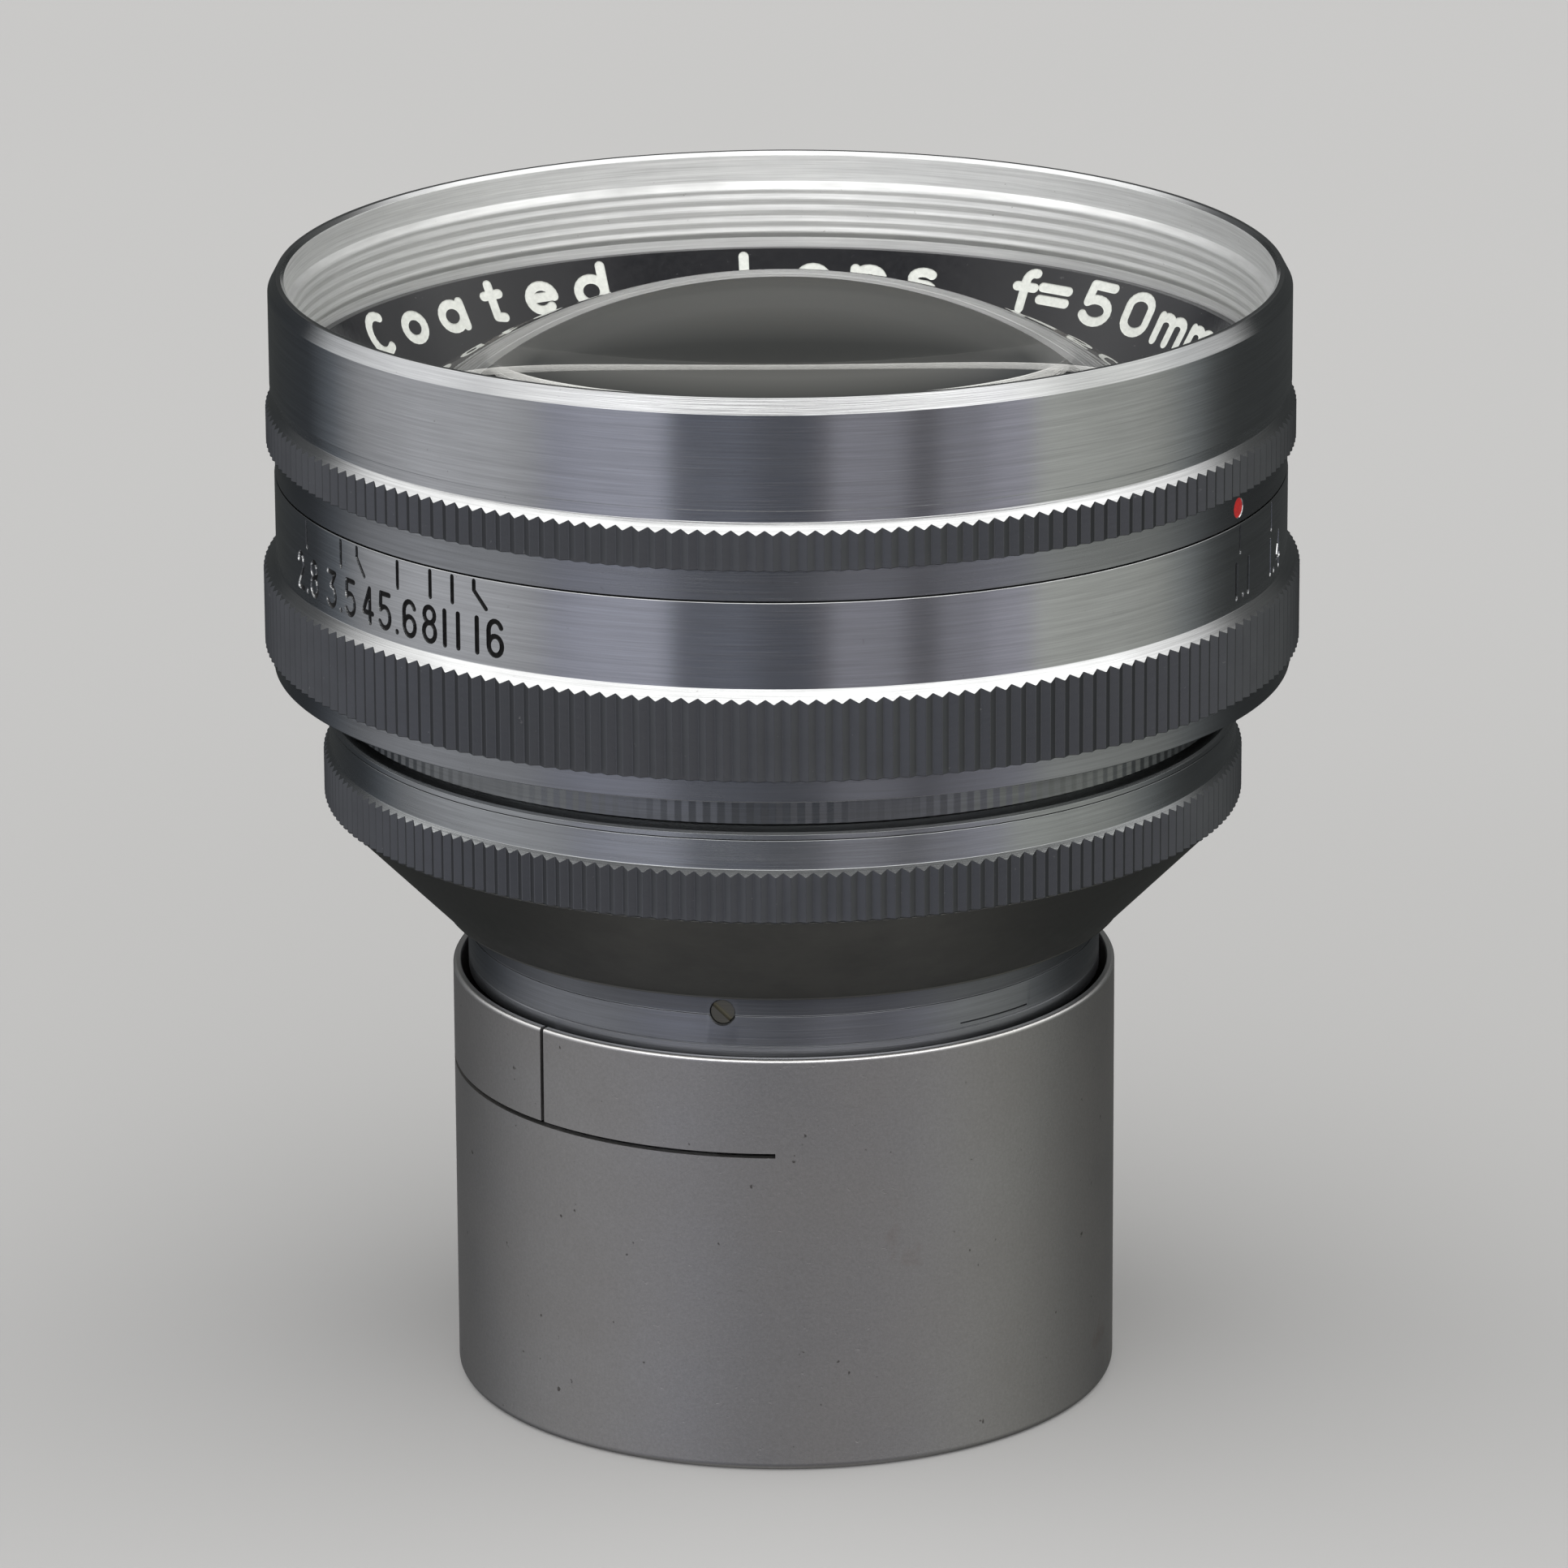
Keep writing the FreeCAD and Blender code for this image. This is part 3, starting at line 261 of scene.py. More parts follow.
def ribbon_outlines(points, reach):
    """Closed outlines of a stroke that is reach wide on each side, with round ends."""
    closed = len(points) > 3 and np.allclose(points[0], points[-1])
    track = points[:-1] if closed else points
    ahead, behind = np.roll(track, -1, 0), np.roll(track, 1, 0)
    if not closed:
        ahead[-1], behind[0] = track[-1], track[0]
    along = ahead - behind
    along /= np.linalg.norm(along, axis=1)[:, None]
    side = table(-along[:, 1], along[:, 0]) * reach
    if closed:
        return [track + side, track - side]
    caps = []
    for centre, heading in ((track[-1], along[-1]), (track[0], -along[0])):
        start = math.atan2(heading[1], heading[0])
        turns = np.linspace(start - math.pi / 2, start + math.pi / 2, 8)
        caps.append(centre + reach * table(np.cos(turns), np.sin(turns)))
    return [np.vstack([(track - side)[1:-1], caps[0], (track + side)[-2:0:-1], caps[1]])]


def nearness(places, strokes):
    """Distance of each place from the nearest stroke, in half widths of that stroke."""
    best = np.full(len(places), np.inf)
    for points, half in strokes:
        low, high = points.min(0) - 3 * half, points.max(0) + 3 * half
        near = np.where(np.all((places > low) & (places < high), axis=1))[0]
        for start, end in zip(points[:-1], points[1:]):
            if not len(near):
                continue
            run = end - start
            offset = places[near] - start
            share = np.clip(offset @ run / max(run @ run, 1e-12), 0, 1)
            away = np.linalg.norm(offset - share[:, None] * run, axis=1) / half
            best[near] = np.minimum(best[near], away)
    return best


# ------------ turned meshes

class Turning:
    """A closed outline turned about Z. Rows are rings of points; edges join a row to the next."""

    def __init__(self, columns=PLAIN_COLUMNS):
        """Columns are a number of evenly spaced ones, or a Knurl that says where they stand."""
        self.knurl = None if isinstance(columns, int) else columns
        if self.knurl:
            self.angles = self.knurl.angles
        else:
            self.angles = 2 * math.pi * np.arange(columns) / columns
        self.rows = []
        self.edges = []
        self.straights = []
        self.points = []
        self.faces = []
        self.normals = []
        self.paints = []
        self.total = 0

    def outline(self, corners, paints=()):
        """Rows for (radius, height, fillet) corners, anticlockwise; paints gives edges' materials.

        A radius may be an array with one value for each column, as on a knurl's teeth."""
        count = len(corners)
        paint_of = dict(paints)
        flat = [np.array([np.mean(radius), np.mean(height)]) for radius, height, _ in corners]
        heads = [flat[(n + 1) % count] - flat[n] for n in range(count)]
        lengths = [np.linalg.norm(head) for head in heads]
        heads = [head / length for head, length in zip(heads, lengths)]
        sides = [np.array([head[1], -head[0]]) for head in heads]
        for n, (radius, height, fillet) in enumerate(corners):
            before, after = heads[n - 1], heads[n]
            turn = math.atan2(before[0] * after[1] - before[1] * after[0], before @ after)
            paint = paint_of.get(n, 0)
            if fillet and abs(turn) > 0.02:
                shortest = min(lengths[n - 1], lengths[n])
                trim = min(fillet * math.tan(abs(turn) / 2), 0.45 * shortest)
                self.fillet(flat[n], before, turn, trim, paint, paint_of.get(n - 1, 0))
            else:
                self.row(radius, height)
            self.edge(sides[n], sides[n], paint)
            self.straights.append((len(self.edges) - 1, flat[n]))
        return self

    def row(self, radius, height):
        """Adds a ring of points."""
        size = len(self.angles)
        self.rows.append((np.full(size, 1.0) * radius, np.full(size, 1.0) * height))

    def edge(self, start, end, paint):
        """Joins the last row to the next one; start and end are the outline's normals there."""
        self.edges.append((start, end, paint))

    def fillet(self, corner, before, turn, trim, paint, paint_before):
        """Rows and edges of the arc that replaces a corner."""
        radius = trim / math.tan(abs(turn) / 2)
        side = np.array([before[1], -before[0]])
        sign = math.copysign(1.0, turn)
        centre = corner - before * trim - sign * side * radius
        steps = max(2, math.ceil(math.degrees(abs(turn)) / ARC_STEP))
        normals = []
        for step in range(steps + 1):
            swing = turn * step / steps
            normal = np.array([side @ [math.cos(swing), -math.sin(swing)],
                               side @ [math.sin(swing), math.cos(swing)]])
            normals.append(normal)
            self.row(*(centre + sign * normal * radius))
        for step in range(steps):
            self.edge(normals[step], normals[step + 1], paint if turn > 0 else paint_before)

    def build(self, strips=()):
        """Points, faces, normals and paints of every edge; strips engrave chosen edges."""
        engraved = {self.straights[strip.corner][0]: strip for strip in strips}
        poles = [not radius.any() for radius, _ in self.rows]
        starts = []
        for (radius, height), pole in zip(self.rows, poles):
            places = swung(radius, self.angles, height)
            starts.append(self.add_points(places[:1] if pole else places))
        column = np.arange(len(self.angles))
        after = np.roll(column, -1)
        for n, (start_normal, end_normal, paint) in enumerate(self.edges):
            below, above = n, (n + 1) % len(self.rows)
            if n in engraved:
                engraved[n].fill(self, below, above, starts, start_normal, paint)
                continue
            if poles[below] and poles[above]:
                continue
            toothed = self.knurl and paint == TOOTH_PAINT
            turns = self.knurl.faces_turn if toothed else self.angles
            low, high = (swung(side[0], turns, side[1]) for side in (start_normal, end_normal))
            corners = []
            directions = []
            for row, columns, normals in ((below, column, low), (below, after, low),
                                          (above, after, high), (above, column, high)):
                if poles[row] and columns is after:
                    continue
                corners.append(starts[row] + columns * (not poles[row]))
                directions.append(normals[columns])
            self.add_faces(np.stack(corners, axis=1), np.stack(directions, axis=1), paint)
        return self

    def add_points(self, places):
        """Adds loose points and returns the number of the first one."""
        first = self.total
        self.points.append(places)
        self.total += len(places)
        return first

    def add_faces(self, corners, directions, paint):
        """Adds faces with a direction for each corner and one paint."""
        self.faces.extend(corners.tolist())
        self.normals.append(directions.reshape(-1, 3))
        self.paints.extend([paint] * len(corners))

    def piece(self, name, body, node, slot, materials):
        """Blender object of this turning, riding on a body in place of its CAD node."""
        mesh = bpy.data.meshes.new(name)
        points = np.vstack(self.points) * MM
        used = np.zeros(len(points), bool)
        for face in self.faces:
            used[face] = True
        number = np.cumsum(used) - 1
        faces = [number[face].tolist() for face in self.faces]
        mesh.from_pydata(points[used].tolist(), [], faces)
        mesh.polygons.foreach_set("use_smooth", [True] * len(mesh.polygons))
        mesh.polygons.foreach_set("material_index", self.paints)
        mesh.update()
        mesh.normals_split_custom_set(np.vstack(self.normals).tolist())
        for material in materials:
            mesh.materials.append(material)
        piece = linked(name, mesh)
        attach(piece, body)
        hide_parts(node)
        return piece


def linked(name, data):
    """New object in the scene."""
    piece = bpy.data.objects.new(name, data)
    bpy.context.scene.collection.objects.link(piece)
    return piece


class Knurl:
    """Columns of a V knurl: rounded roots and tips with flat flanks between them."""

    def __init__(self, tip, root, teeth=KNURL_TEETH):
        half = math.pi / teeth
        edge = KNURL_ROUND / tip
        flank = np.array([tip * math.cos(half) - root, tip * math.sin(half)])
        lean = math.atan2(-flank[0], flank[1])

        def chord(angle):
            """Radius of the flank at an angle from the root."""
            ray = np.array([math.cos(angle), math.sin(angle)])
            return root * flank[1] / (ray[0] * flank[1] - ray[1] * flank[0])

        low, high = chord(edge), chord(half - edge)
        places = np.array([-edge, 0.0, edge, half - edge, half, half + edge])
        radii = np.array([low, (root + low) / 2, low, high, (tip + high) / 2, high])
        facing = np.array([-lean, 0.0, lean, lean, half, 2 * half - lean])
        roots = 2 * half * np.arange(teeth)
        self.angles = (roots[:, None] + places).ravel()
        self.radii = np.tile(radii, teeth)
        self.faces_turn = (roots[:, None] + facing).ravel()


class Strip:
    """Engraving on one straight edge of an outline, unrolled to (along, up) millimetres."""

    def __init__(self, corner, radius, strokes, steps, paints):
        """The strip leaves the outline's corner of that number; strokes are unrolled at radius.

        Steps are (share of a stroke's half width, depth) from its edge inwards."""
        self.corner = corner
        self.radius = radius
        self.strokes = strokes
        self.steps = steps
        self.wall_paint, self.floor_paint = paints

    def fill(self, turning, below, above, starts, side, paint):
        """Adds the engraved faces between two rows of a turning."""
        start, end = (np.array([values[0] for values in turning.rows[row]]) for row in (below, above))
        self.turning, self.side, self.start, self.run = turning, side, start, end - start
        self.first = turning.angles[0]
        self.whole = 2 * math.pi * self.radius
        self.length = np.linalg.norm(self.run)
        self._shift(np.linalg.norm(start - turning.straights[self.corner][1]))
        along = np.append((turning.angles - self.first) * self.radius, self.whole)
        rows = max(1, round(self.length / STRIP_ROW_GAP) - 1)
        ups = self.length * (np.arange(rows) + 1) / (rows + 1)
        places, links = self._border(along, ups)
        places = np.vstack([places, self._grid(ups)])
        for points, half in self.strokes:
            for share, _ in self.steps:
                for loop in ribbon_outlines(points, half * share):
                    base, count = len(places), len(loop)
                    places = np.vstack([places, loop])
                    links += [(base + n, base + (n + 1) % count) for n in range(count)]
        found, _, triangles, sources, _, _ = delaunay_2d_cdt(
            [Vector(place) for place in places.tolist()], links, [], 0, MERGE_DISTANCE, True,
        )
        flat = np.array([tuple(place) for place in found])
        numbers = self._numbers(flat, sources, starts[below], starts[above], rows)
        triangles = np.array([face for face in triangles if len(face) == 3])
        corner, one, two = (flat[triangles[:, n]] for n in range(3))
        one, two = one - corner, two - corner
        area = one[:, 0] * two[:, 1] - one[:, 1] * two[:, 0]
        triangles[area < 0] = triangles[area < 0][:, ::-1]
        self._faces(flat, triangles[np.abs(area) > 1e-9], numbers, paint)

    def _shift(self, lead):
        """Moves the strokes into the strip, whose left end is the turning's first column."""
        moved = []
        for points, half in self.strokes:
            offset = points - np.array([self.first * self.radius, lead])
            shift = math.floor(offset[:, 0].mean() / self.whole) * self.whole
            moved.append((offset - np.array([shift, 0.0]), half))
        self.strokes = moved

    def _border(self, along, ups):
        """Points round the strip's edge and the links between them."""
        size, rows = len(along), len(ups)
        bottom, top = table(along, 0 * along), table(along, 0 * along + self.length)
        left, right = table(0 * ups, ups), table(0 * ups + self.whole, ups)
        ring = [*range(size), *range(2 * size + rows, 2 * size + 2 * rows),
                *range(2 * size - 1, size - 1, -1), *range(2 * size + rows - 1, 2 * size - 1, -1)]
        return np.vstack([bottom, top, left, right]), list(zip(ring, ring[1:] + ring[:1]))

    def _grid(self, ups):
        """Plain points inside the strip, clear of the strokes."""
        columns = round(self.whole / STRIP_COLUMN_GAP)
        along = self.whole * (np.arange(1, columns) / columns)
        grid = np.array([(a, u) for u in ups for a in along])
        return grid[nearness(grid, self.strokes) > STRIP_CLEARANCE]

    def _numbers(self, flat, sources, bottom, top, rows):
        """Number of each strip point in the turning; border points are shared with its rows."""
        shares, depths = zip(*self.steps[::-1])
        depth = np.interp(nearness(flat, self.strokes), shares, depths)
        angle = self.first + flat[:, 0] / self.radius
        spot = self.start + self.run * (flat[:, 1] / self.length)[:, None] - self.side * depth[:, None]
        base = self.turning.add_points(swung(spot[:, 0], angle, spot[:, 1]))
        numbers = base + np.arange(len(flat))
        size = len(self.turning.angles)
        left, right = 2 * size + 2, 2 * size + 2 + rows
        left_number = {}
        for n, source in enumerate(sources):
            for origin in source:
                if origin <= size:
                    numbers[n] = bottom + origin % size
                elif origin < left:
                    numbers[n] = top + (origin - size - 1) % size
                elif origin < right:
                    left_number[origin - left] = n
        for n, source in enumerate(sources):
            for origin in source:
                if right <= origin < right + rows:
                    numbers[n] = base + left_number[origin - right]
        return numbers

    def _faces(self, flat, triangles, numbers, paint):
        """Faces sorted into surface, wall and floor, with smooth or flat normals to match."""
        away = nearness(flat[triangles].mean(1), self.strokes)
        floor = away < self.steps[-1][0]
        wall = ~floor & (away < self.steps[0][0])
        angle = self.first + flat[triangles][:, :, 0] / self.radius
        smooth = swung(self.side[0], angle, self.side[1])
        corners = np.vstack(self.turning.points)[numbers[triangles]]
        cross = np.cross(corners[:, 1] - corners[:, 0], corners[:, 2] - corners[:, 0])
        length = np.linalg.norm(cross, axis=1)
        keep = length > 1e-10
        cross[keep] /= length[keep][:, None]
        directions = np.where(wall[:, None, None], cross[:, None, :], smooth)
        paints = np.where(floor, self.floor_paint, np.where(wall, self.wall_paint, paint))
        for kind in np.unique(paints[keep]):
            chosen = keep & (paints == kind)
            self.turning.add_faces(numbers[triangles[chosen]], directions[chosen], int(kind))


# ------------ materials

class Nodes:
    """Maker of the nodes of a material or a world."""

    def __init__(self, tree):
        self.tree = tree

    def add(self, kind, settings=(), **inputs):
        """A node with its settings; each input is a value or another node's output.

        An input goes by its name, or by i and its number."""
        node = self.tree.nodes.new(kind)
        for name, value in dict(settings).items():
            setattr(node, name, value)
        for name, value in inputs.items():
            slot = int(name[1:]) if name[1:].isdigit() else name.replace("_", " ")
            if isinstance(value, bpy.types.NodeSocket):
                self.tree.links.new(value, node.inputs[slot])
            else:
                node.inputs[slot].default_value = value
        return node

    def math(self, operation, *values):
        """Result of a Math node."""
        inputs = {f"i{n}": value for n, value in enumerate(values)}
        return self.add("ShaderNodeMath", {"operation": operation}, **inputs).outputs[0]

    def times(self, first, *others):
        """Product of two or more values."""
        for other in others:
            first = self.math("MULTIPLY", first, other)
        return first

    def parts(self, vector):
        """X, Y and Z of a vector."""
        return self.add("ShaderNodeSeparateXYZ", Vector=vector).outputs

    def span(self, value, low, high, out_low=0.0, out_high=1.0):
        """A value brought from one range into another, clamped."""
        node = self.add("ShaderNodeMapRange", Value=value, From_Min=low, From_Max=high,
                        To_Min=out_low, To_Max=out_high)
        return node.outputs["Result"]

    def mix(self, factor, first, second):
        """Mix of two colours."""
        node = self.add("ShaderNodeMix", {"data_type": "RGBA"}, i0=factor, i6=first, i7=second)
        return node.outputs[2]


class Recipe(Nodes):
    """A material with a Principled surface and the nodes that feed it."""

    def __init__(self, name, **sockets):
        self.material = bpy.data.materials.new(name)
        self.material.use_nodes = True
        super().__init__(self.material.node_tree)
        self.surface = self.tree.nodes["Principled BSDF"]
        for socket, value in sockets.items():
            self.surface.inputs[socket.replace("_", " ")].default_value = value
        self.place = self.add("ShaderNodeTexCoord").outputs["Object"]

    def noise(self, scale, detail=2.0, roughness=0.5, place=None):
        """Noise value, 0 to 1, over the piece's own coordinates or other ones."""
        node = self.add("ShaderNodeTexNoise", Vector=place or self.place, Scale=scale, Detail=detail,
                        Roughness=roughness)
        return node.outputs["Fac"]

    def turning_marks(self, along, up, detail, roughness):
        """Noise that runs round the piece, for marks left by turning."""
        x, y, z = self.parts(self.place)
        reach = self.math("SQRT", self.math("ADD", self.times(x, x), self.times(y, y)))
        level = self.times(self.math("SUBTRACT", z, self.times(reach, MARKS_LEAN)), up)
        place = self.add("ShaderNodeCombineXYZ", X=self.times(x, along), Y=self.times(y, along), Z=level)
        return self.noise(1.0, detail, roughness, place.outputs[0])

    def bump(self, height, strength, distance):
        """Bump from a height, linked to the surface."""
        node = self.add("ShaderNodeBump", Height=height, Strength=strength, Distance=distance)
        self.link("Normal", node.outputs["Normal"])

    def grain(self, scale, strength, distance):
        """Fine even noise that also lifts the surface."""
        value = self.noise(scale, 4.0, 0.7)
        self.bump(value, strength, distance)
        return value

    def painted_bright_above(self, height, soft):
        """Mask of a painted highlight: 1 above a height of the piece in metres, fading to 0 over soft
        below it.
        """
        return self.span(self.parts(self.place)[2], height - soft, height)

    def rough(self, value, low, high):
        """Roughness between two limits, led by a noise value."""
        self.link("Roughness", self.span(value, 0.3, 0.7, low, high))

    def link(self, socket, output):
        """Feeds a socket of the surface."""
        self.tree.links.new(output, self.surface.inputs[socket])


def grey(value, warmth=0.0):
    """Neutral colour, a little warmer or cooler."""
    return (value * (1 + warmth), value, value * (1 - warmth), 1.0)


def darker(colour, share):
    """A share of a colour."""
    return tuple(channel * share for channel in colour[:3]) + (1.0,)


def turned_metal(name, colour, roughness, anisotropy, line_strength, worn=0.0):
    """Bright metal with fine turning lines, faint smudges and small scratches."""
    recipe = Recipe(name, Metallic=1.0, Anisotropic=anisotropy, Anisotropic_Rotation=0.25)
    tangent = recipe.add("ShaderNodeTangent", {"direction_type": "RADIAL", "axis": "Z"})
    recipe.link("Tangent", tangent.outputs[0])
    fine = recipe.turning_marks(160.0, 12000.0, 2.0, 0.6)
    coarse = recipe.turning_marks(90.0, 4500.0, 3.0, 0.7)
    lines = recipe.math("ADD", fine, recipe.times(coarse, 0.8))
    recipe.bump(lines, line_strength, 0.00002)
    smudge = recipe.noise(140.0, 5.0, 0.6)
    shade = recipe.times(recipe.math("ADD", coarse, smudge), 0.5)
    recipe.rough(shade, roughness * 0.85, roughness * 1.25)
    tone = recipe.mix(recipe.span(shade, 0.3, 0.7), colour, darker(colour, 0.84 - worn))
    lined = recipe.mix(recipe.span(lines, 0.65, 1.15, 0.0, 0.22), tone, grey(0.08, 0.03))
    specks = recipe.span(recipe.noise(2600.0, 3.0, 0.7), 0.71, 0.76, 0.0, 0.55 + worn)
    recipe.link("Base Color", recipe.mix(specks, lined, grey(0.10, 0.06)))
    return recipe.material


def knurl_metal(name, colour):
    """Metal of the knurls' flanks, darker than the plain chrome."""
    recipe = Recipe(name, Metallic=1.0)
    recipe.bump(recipe.turning_marks(900.0, 2500.0, 4.0, 0.7), 0.3, 0.00003)
    patch = recipe.noise(260.0, 4.0, 0.6)
    recipe.rough(patch, 0.42, 0.5)
    tone = recipe.mix(recipe.span(patch, 0.35, 0.7), colour, darker(colour, 0.86))
    specks = recipe.span(recipe.noise(2300.0, 3.0, 0.7), 0.70, 0.76, 0.0, 0.5)
    recipe.link("Base Color", recipe.mix(specks, tone, grey(0.32)))
    return recipe.material


def cap_metal(name):
    """Satin aluminium of the rear cap: fine even grain, pits, a painted highlight along the rim and faint
    brown stains.
    """
    recipe = Recipe(name, Metallic=1.0)
    grain = recipe.noise(5200.0, 4.0, 0.75)
    pits = recipe.span(recipe.noise(2100.0, 3.0, 0.6), 0.22, 0.34, -1.0, 0.0)
    recipe.bump(recipe.math("ADD", grain, pits), 0.5, 0.00002)
    cloud = recipe.noise(90.0, 6.0, 0.62)
    base = recipe.mix(recipe.span(cloud, 0.3, 0.7), grey(0.33, 0.015), grey(0.285, 0.03))
    speckled = recipe.mix(recipe.span(grain, 0.3, 0.72, 0.0, 0.35), base, grey(0.16, 0.03))
    stains = recipe.span(recipe.noise(62.0, 5.0, 0.7), 0.66, 0.78, 0.0, 0.5)
    stained = recipe.mix(stains, speckled, (0.17, 0.10, 0.075, 1.0))
    specks = recipe.span(recipe.noise(1300.0, 2.0, 0.5), 0.735, 0.77, 0.0, 0.8)
    marked = recipe.mix(specks, stained, grey(0.06, 0.1))
    # Painted highlight: along the top of the rim the colour is painted light grey and the roughness is
    # lowered.
    painted_highlight = recipe.painted_bright_above(CAP_HIGHLIGHT_Z, 0.0002)
    recipe.link("Base Color", recipe.mix(painted_highlight, marked, grey(0.80, 0.01)))
    rough = recipe.span(cloud, 0.3, 0.7, 0.46, 0.54)
    recipe.link("Roughness", recipe.math("SUBTRACT", rough, recipe.times(painted_highlight, 0.2)))
    return recipe.material


def cone_metal(name):
    """Dark olive grey cone, satin, with faint turning lines and patches."""
    recipe = Recipe(name, Metallic=0.9)
    recipe.bump(recipe.turning_marks(40.0, 5000.0, 3.0, 0.7), 0.25, 0.00003)
    patch = recipe.noise(180.0, 5.0, 0.6)
    recipe.rough(patch, 0.36, 0.48)
    recipe.link("Base Color", recipe.mix(recipe.span(patch, 0.35, 0.7), (0.104, 0.104, 0.096, 1.0),
                                         (0.080, 0.080, 0.075, 1.0)))
    return recipe.material


def black_paint(name, colour, low, high, gloss=0.5):
    """Paint with an uneven surface and a little dust."""
    recipe = Recipe(name, Specular_IOR_Level=gloss)
    grain = recipe.grain(1800.0, 0.15, 0.00004)
    dust = recipe.span(recipe.noise(2400.0, 3.0, 0.7), 0.7, 0.78, 0.0, 0.35)
    recipe.link("Base Color", recipe.mix(dust, colour, grey(0.28)))
    recipe.rough(grain, low, high)
    return recipe.material


def spacer_metal(name):
    """Matt black metal whose top edge is painted as bright metal, a painted highlight."""
    recipe = Recipe(name)
    grain = recipe.grain(1800.0, 0.15, 0.00004)
    # Painted highlight: above this height the black edge turns into bright metal.
    painted_highlight = recipe.painted_bright_above(SPACER_HIGHLIGHT_Z, 0.00005)
    recipe.link("Metallic", painted_highlight)
    recipe.link("Base Color", recipe.mix(painted_highlight, grey(0.012), grey(0.75, 0.02)))
    recipe.rough(grain, 0.4, 0.55)
    return recipe.material


def ground_glass(name):
    """Fine-ground part of a lens, pale and a little green."""
    recipe = Recipe(name)
    grain = recipe.grain(2600.0, 0.3, 0.00003)
    cloud = recipe.noise(160.0, 4.0, 0.6)
    recipe.link("Base Color", recipe.mix(cloud, (0.78, 0.82, 0.72, 1.0), (0.62, 0.66, 0.58, 1.0)))
    recipe.rough(grain, 0.55, 0.75)
    return recipe.material


def coated_glass(name, tint, gloss):
    """Glass with a faint tint and a trace of haze; its coating lowers the gloss."""
    recipe = Recipe(name, Transmission_Weight=1.0, IOR=1.6, Specular_IOR_Level=gloss)
    haze = recipe.noise(220.0, 3.0, 0.6)
    recipe.link("Roughness", recipe.span(haze, 0.62, 0.85, 0.0, 0.03))
    recipe.link("Base Color", recipe.mix(haze, tint, darker(tint, 0.97)))
    return recipe.material


def fill_paint(name, colour, fade, gloss=0.5):
    """Paint in engravings, chipped and uneven."""
    recipe = Recipe(name, Specular_IOR_Level=gloss)
    grain = recipe.grain(3000.0, 0.3, 0.00003)
    recipe.link("Base Color", recipe.mix(recipe.span(grain, 0.35, 0.75), colour, fade))
    recipe.rough(grain, 0.35, 0.6)
    return recipe.material


def make_materials():
    """Every material by its name in this script."""
    return {
        "chrome": turned_metal("chrome_turned", (0.60, 0.61, 0.62, 1.0), 0.17, 0.8, 0.3),
        # A duller copy of the chrome for the bands under the knurls, darkened as painted shade.
        "dull": turned_metal("chrome_dull_painted_shade", (0.35, 0.36, 0.375, 1.0), 0.24, 0.6, 0.3, 0.05),
        "rear": turned_metal("chrome_rear", (0.45, 0.465, 0.475, 1.0), 0.24, 0.7, 0.3, 0.03),
        # A lighter, rougher copy of the chrome for the inside of the rim; its lighter colour is painted
        # light.
        "bore": turned_metal("chrome_bore_painted_light", (0.86, 0.87, 0.87, 1.0), 0.58, 0.3, 0.2),
        "teeth": knurl_metal("chrome_teeth", (0.118, 0.122, 0.130, 1.0)),
        "neck": turned_metal("chrome_neck", (0.25, 0.26, 0.265, 1.0), 0.28, 0.5, 0.3, 0.15),
        "collar": turned_metal("chrome_collar", (0.26, 0.27, 0.29, 1.0), 0.32, 0.5, 0.3, 0.05),
        # A darker copy of the collar's chrome: painted shade on the upper band, under the cone's foot.
        "collar_top": turned_metal("chrome_collar_painted_shade", (0.165, 0.172, 0.185, 1.0), 0.4, 0.5, 0.3, 0.05),
        "cone": cone_metal("cone_olive"),
        "cap": cap_metal("cap_blasted"),
        "black": black_paint("black_anodised", (0.012, 0.012, 0.013, 1.0), 0.5, 0.65, 0.15),
        "gloss": black_paint("name_ring_black", (0.006, 0.0065, 0.009, 1.0), 0.12, 0.2),
        "engraving": fill_paint("engraving_black", grey(0.004), grey(0.012), 0.08),
        "letters": fill_paint("letters_white", (0.72, 0.74, 0.70, 1.0), (0.55, 0.57, 0.54, 1.0)),
        "red": fill_paint("index_red", (0.50, 0.012, 0.01, 1.0), (0.28, 0.008, 0.008, 1.0)),
        "blades": turned_metal("blade_blued", (0.07, 0.072, 0.082, 1.0), 0.4, 0.2, 0.2),
        "screws": turned_metal("screw_steel", (0.22, 0.21, 0.17, 1.0), 0.3, 0.0, 0.2, 0.1),
        "brass": turned_metal("shim_brass", (0.68, 0.50, 0.22, 1.0), 0.28, 0.4, 0.3),
        "dome": coated_glass("glass_front", (1.0, 0.99, 0.95, 1.0), 0.2),
        "glass": coated_glass("glass_inner", (0.88, 0.83, 0.68, 1.0), 0.05),
        "ground": ground_glass("glass_ground_edge"),
        "spacer": spacer_metal("spacer_painted_highlight"),
    }


# ------------ number and name strokes

def around(azimuth, radius):
    """Distance round an unrolled strip of a place at an azimuth."""
    return math.radians(azimuth - 90.0) * radius


